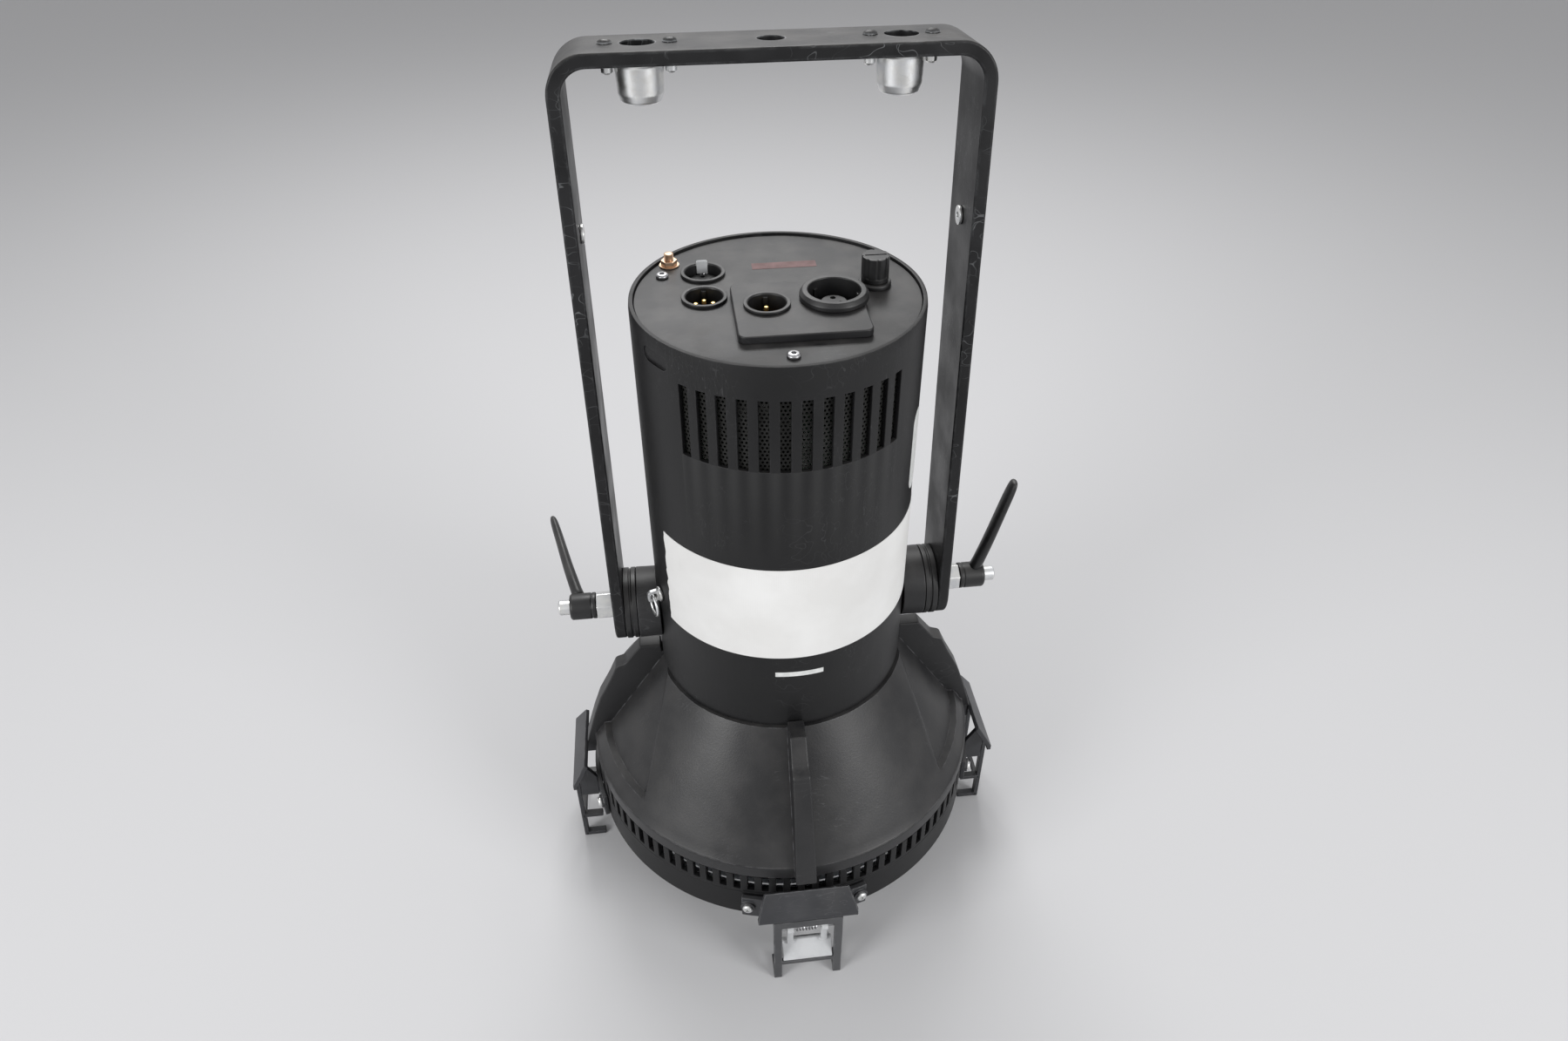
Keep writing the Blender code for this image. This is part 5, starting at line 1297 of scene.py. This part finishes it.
def safetyPoint():
    place = around(tube["lugAt"]) @ shifted(0, 0, tube["lugHeight"])
    root, tip, half, thick = -tube["radius"] - 0.0008, -lug["tip"], lug["half"], lug["thickHalf"]
    outline = softCorners([(root, -half), (tip, -half), (tip, half), (root, half)], 0.0026, 5)
    tab = plateShape([(z, y) for y, z in outline], -thick, thick, Matrix.Rotation(-math.pi / 2, 4, "Y"))
    bore = rodShape(lug["bore"], -0.010, 0.010, 32, shifted(0, -lug["reach"], 0) @ toSide)
    shank = rodShape(0.0024, 0.0700, tube["radius"] + 0.0015, 24, toFront)
    collar = rodShape(0.0045, tube["radius"] + 0.0004, tube["radius"] + 0.0020, 36, toFront, 0.0005)
    whole = joined(eased(carved(tab, [bore]), 0.0003), shank, collar)
    whole.transform(place)
    newPiece("safetyLug", whole, "zincPlate", "safety_lug")
    drop = lug["bore"] - lug["wire"] - 0.0003
    circle = circlePoints(lug["wire"], 14, lug["ring"])
    loop = turnedShape(circle, 64, place @ shifted(0, -lug["reach"], -drop - lug["ring"]) @ toFront, ring=True)
    newPiece("safetyRing", loop, "zincPlate", "safety_ring", body="safety_ring")


# What is stuck or printed on the tube
tape = {"low": 0.216, "high": 0.280, "from": -63.0, "to": 78.0, "thick": 0.00022, "ragged": 1.1}
printedBar = {"low": 0.2012, "high": 0.2046, "from": -8.6, "to": 12.4, "thick": 0.00006}
sideStrip = {"low": 0.294, "high": 0.344, "from": 62.0, "to": 73.0, "thick": 0.00016}


def wrappedPatch(rows, thick, columns, lift=0.00006):
    # A thin sheet on the tube; each row is (height, first angle, last angle) in degrees
    shape = bmesh.new()
    layer = shape.loops.layers.uv.new("wrapped")
    radius = tube["radius"] + lift

    def spots(reach, z, start, end):
        turns = [around(start + (end - start) * i / columns) for i in range(columns + 1)]
        return [shape.verts.new(turn @ Vector((0, -reach, z))) for turn in turns]

    low, high = ([spots(reach, *row) for row in rows] for reach in (radius, radius + thick))
    last, side = len(rows) - 1, columns

    def skin(*corners):
        shape.faces.new(corners)

    for k in range(last):
        for i in range(columns):
            skin(high[k][i], high[k][i + 1], high[k + 1][i + 1], high[k + 1][i])
            skin(low[k][i + 1], low[k][i], low[k + 1][i], low[k + 1][i + 1])
        skin(low[k][0], high[k][0], high[k + 1][0], low[k + 1][0])
        skin(high[k][side], low[k][side], low[k + 1][side], high[k + 1][side])
    for i in range(columns):
        skin(low[0][i], low[0][i + 1], high[0][i + 1], high[0][i])
        skin(high[last][i], high[last][i + 1], low[last][i + 1], low[last][i])
    bmesh.ops.recalc_face_normals(shape, faces=shape.faces)
    for face in shape.faces:
        for loop in face.loops:
            spot = loop.vert.co
            loop[layer].uv = (math.atan2(spot.x, -spot.y) * tube["radius"], spot.z)
    return shape


def torn(z, seed):
    # How far the tape's torn end strays at a height, in degrees
    coarse, fine = noise.noise(Vector((z * 260, seed, 0))), noise.noise(Vector((z * 1100, seed, 4)))
    return tape["ragged"] * (coarse + 0.35 * fine)


def tapeAndPrints():
    rows = []
    for i in range(33):
        z = tape["low"] + (tape["high"] - tape["low"]) * i / 32
        rows.append((z, tape["from"] + torn(z, 1.3), tape["to"] + torn(z, 7.9)))
    newPiece("clothTape", wrappedPatch(rows, tape["thick"], 96), "whiteTape")
    bar = [(z, printedBar["from"], printedBar["to"]) for z in (printedBar["low"], printedBar["high"])]
    newPiece("printedBar", wrappedPatch(bar, printedBar["thick"], 14), "whiteInk")
    middle, half = (sideStrip["from"] + sideStrip["to"]) / 2, (sideStrip["to"] - sideStrip["from"]) / 2
    radius = math.radians(half) * tube["radius"]
    rows = []
    for i in range(9):
        away = radius * math.cos(math.pi / 2 * i / 8)
        rows.append((sideStrip["low"] + radius - away, half * math.sqrt(max(0.0004, 1 - (away / radius) ** 2))))
    rows += [(sideStrip["low"] + sideStrip["high"] - z, width) for z, width in reversed(rows)]
    strip = [(z, middle - width, middle + width) for z, width in rows]
    newPiece("sideStrip", wrappedPatch(strip, sideStrip["thick"], 8), "whiteInk")
    top = panel["top"]
    stripe = boxShape((-0.010, 0.0300, top + 0.00002), (0.024, 0.0372, top + 0.0001))
    newPiece("panelStripe", stripe, "redInk")


# Inside pieces that keep their CAD shape get their finish here
kept = {"fan_frame": "blackPlastic", "fan_rotor": "blackPlastic", "driver_board": "boardGreen",
    "driver_transformer": "blackPlastic", "spacer_post_1": "plainSteel", "spacer_post_2": "plainSteel",
    "spacer_post_3": "plainSteel", "spacer_post_4": "plainSteel"}


def dressKept():
    for name, finish in kept.items():
        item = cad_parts[name]
        item.data.materials.clear()
        item.data.materials.append(finishes[finish])


for stageName, makers in (
        ("tube and screens", (housingTube, ventScreens)),
        ("casting, comb and front ring", (coneCasting, ventComb, lampFront)),
        ("optics and cooling", (lightPath, heatSink, dressKept)),
        ("holders and latch", (accessoryHolders, accessoryLatch)),
        ("pivots, clamps and yoke", (pivots, clampSets, yokeBar, receptacles)),
        ("rear panel", (rearPanel, dataSockets, powerInlet, fuseAndEarth)),
        ("safety point, tape and prints", (safetyPoint, tapeAndPrints))):
    for maker in makers:
        maker()
    print(stageName, "done")
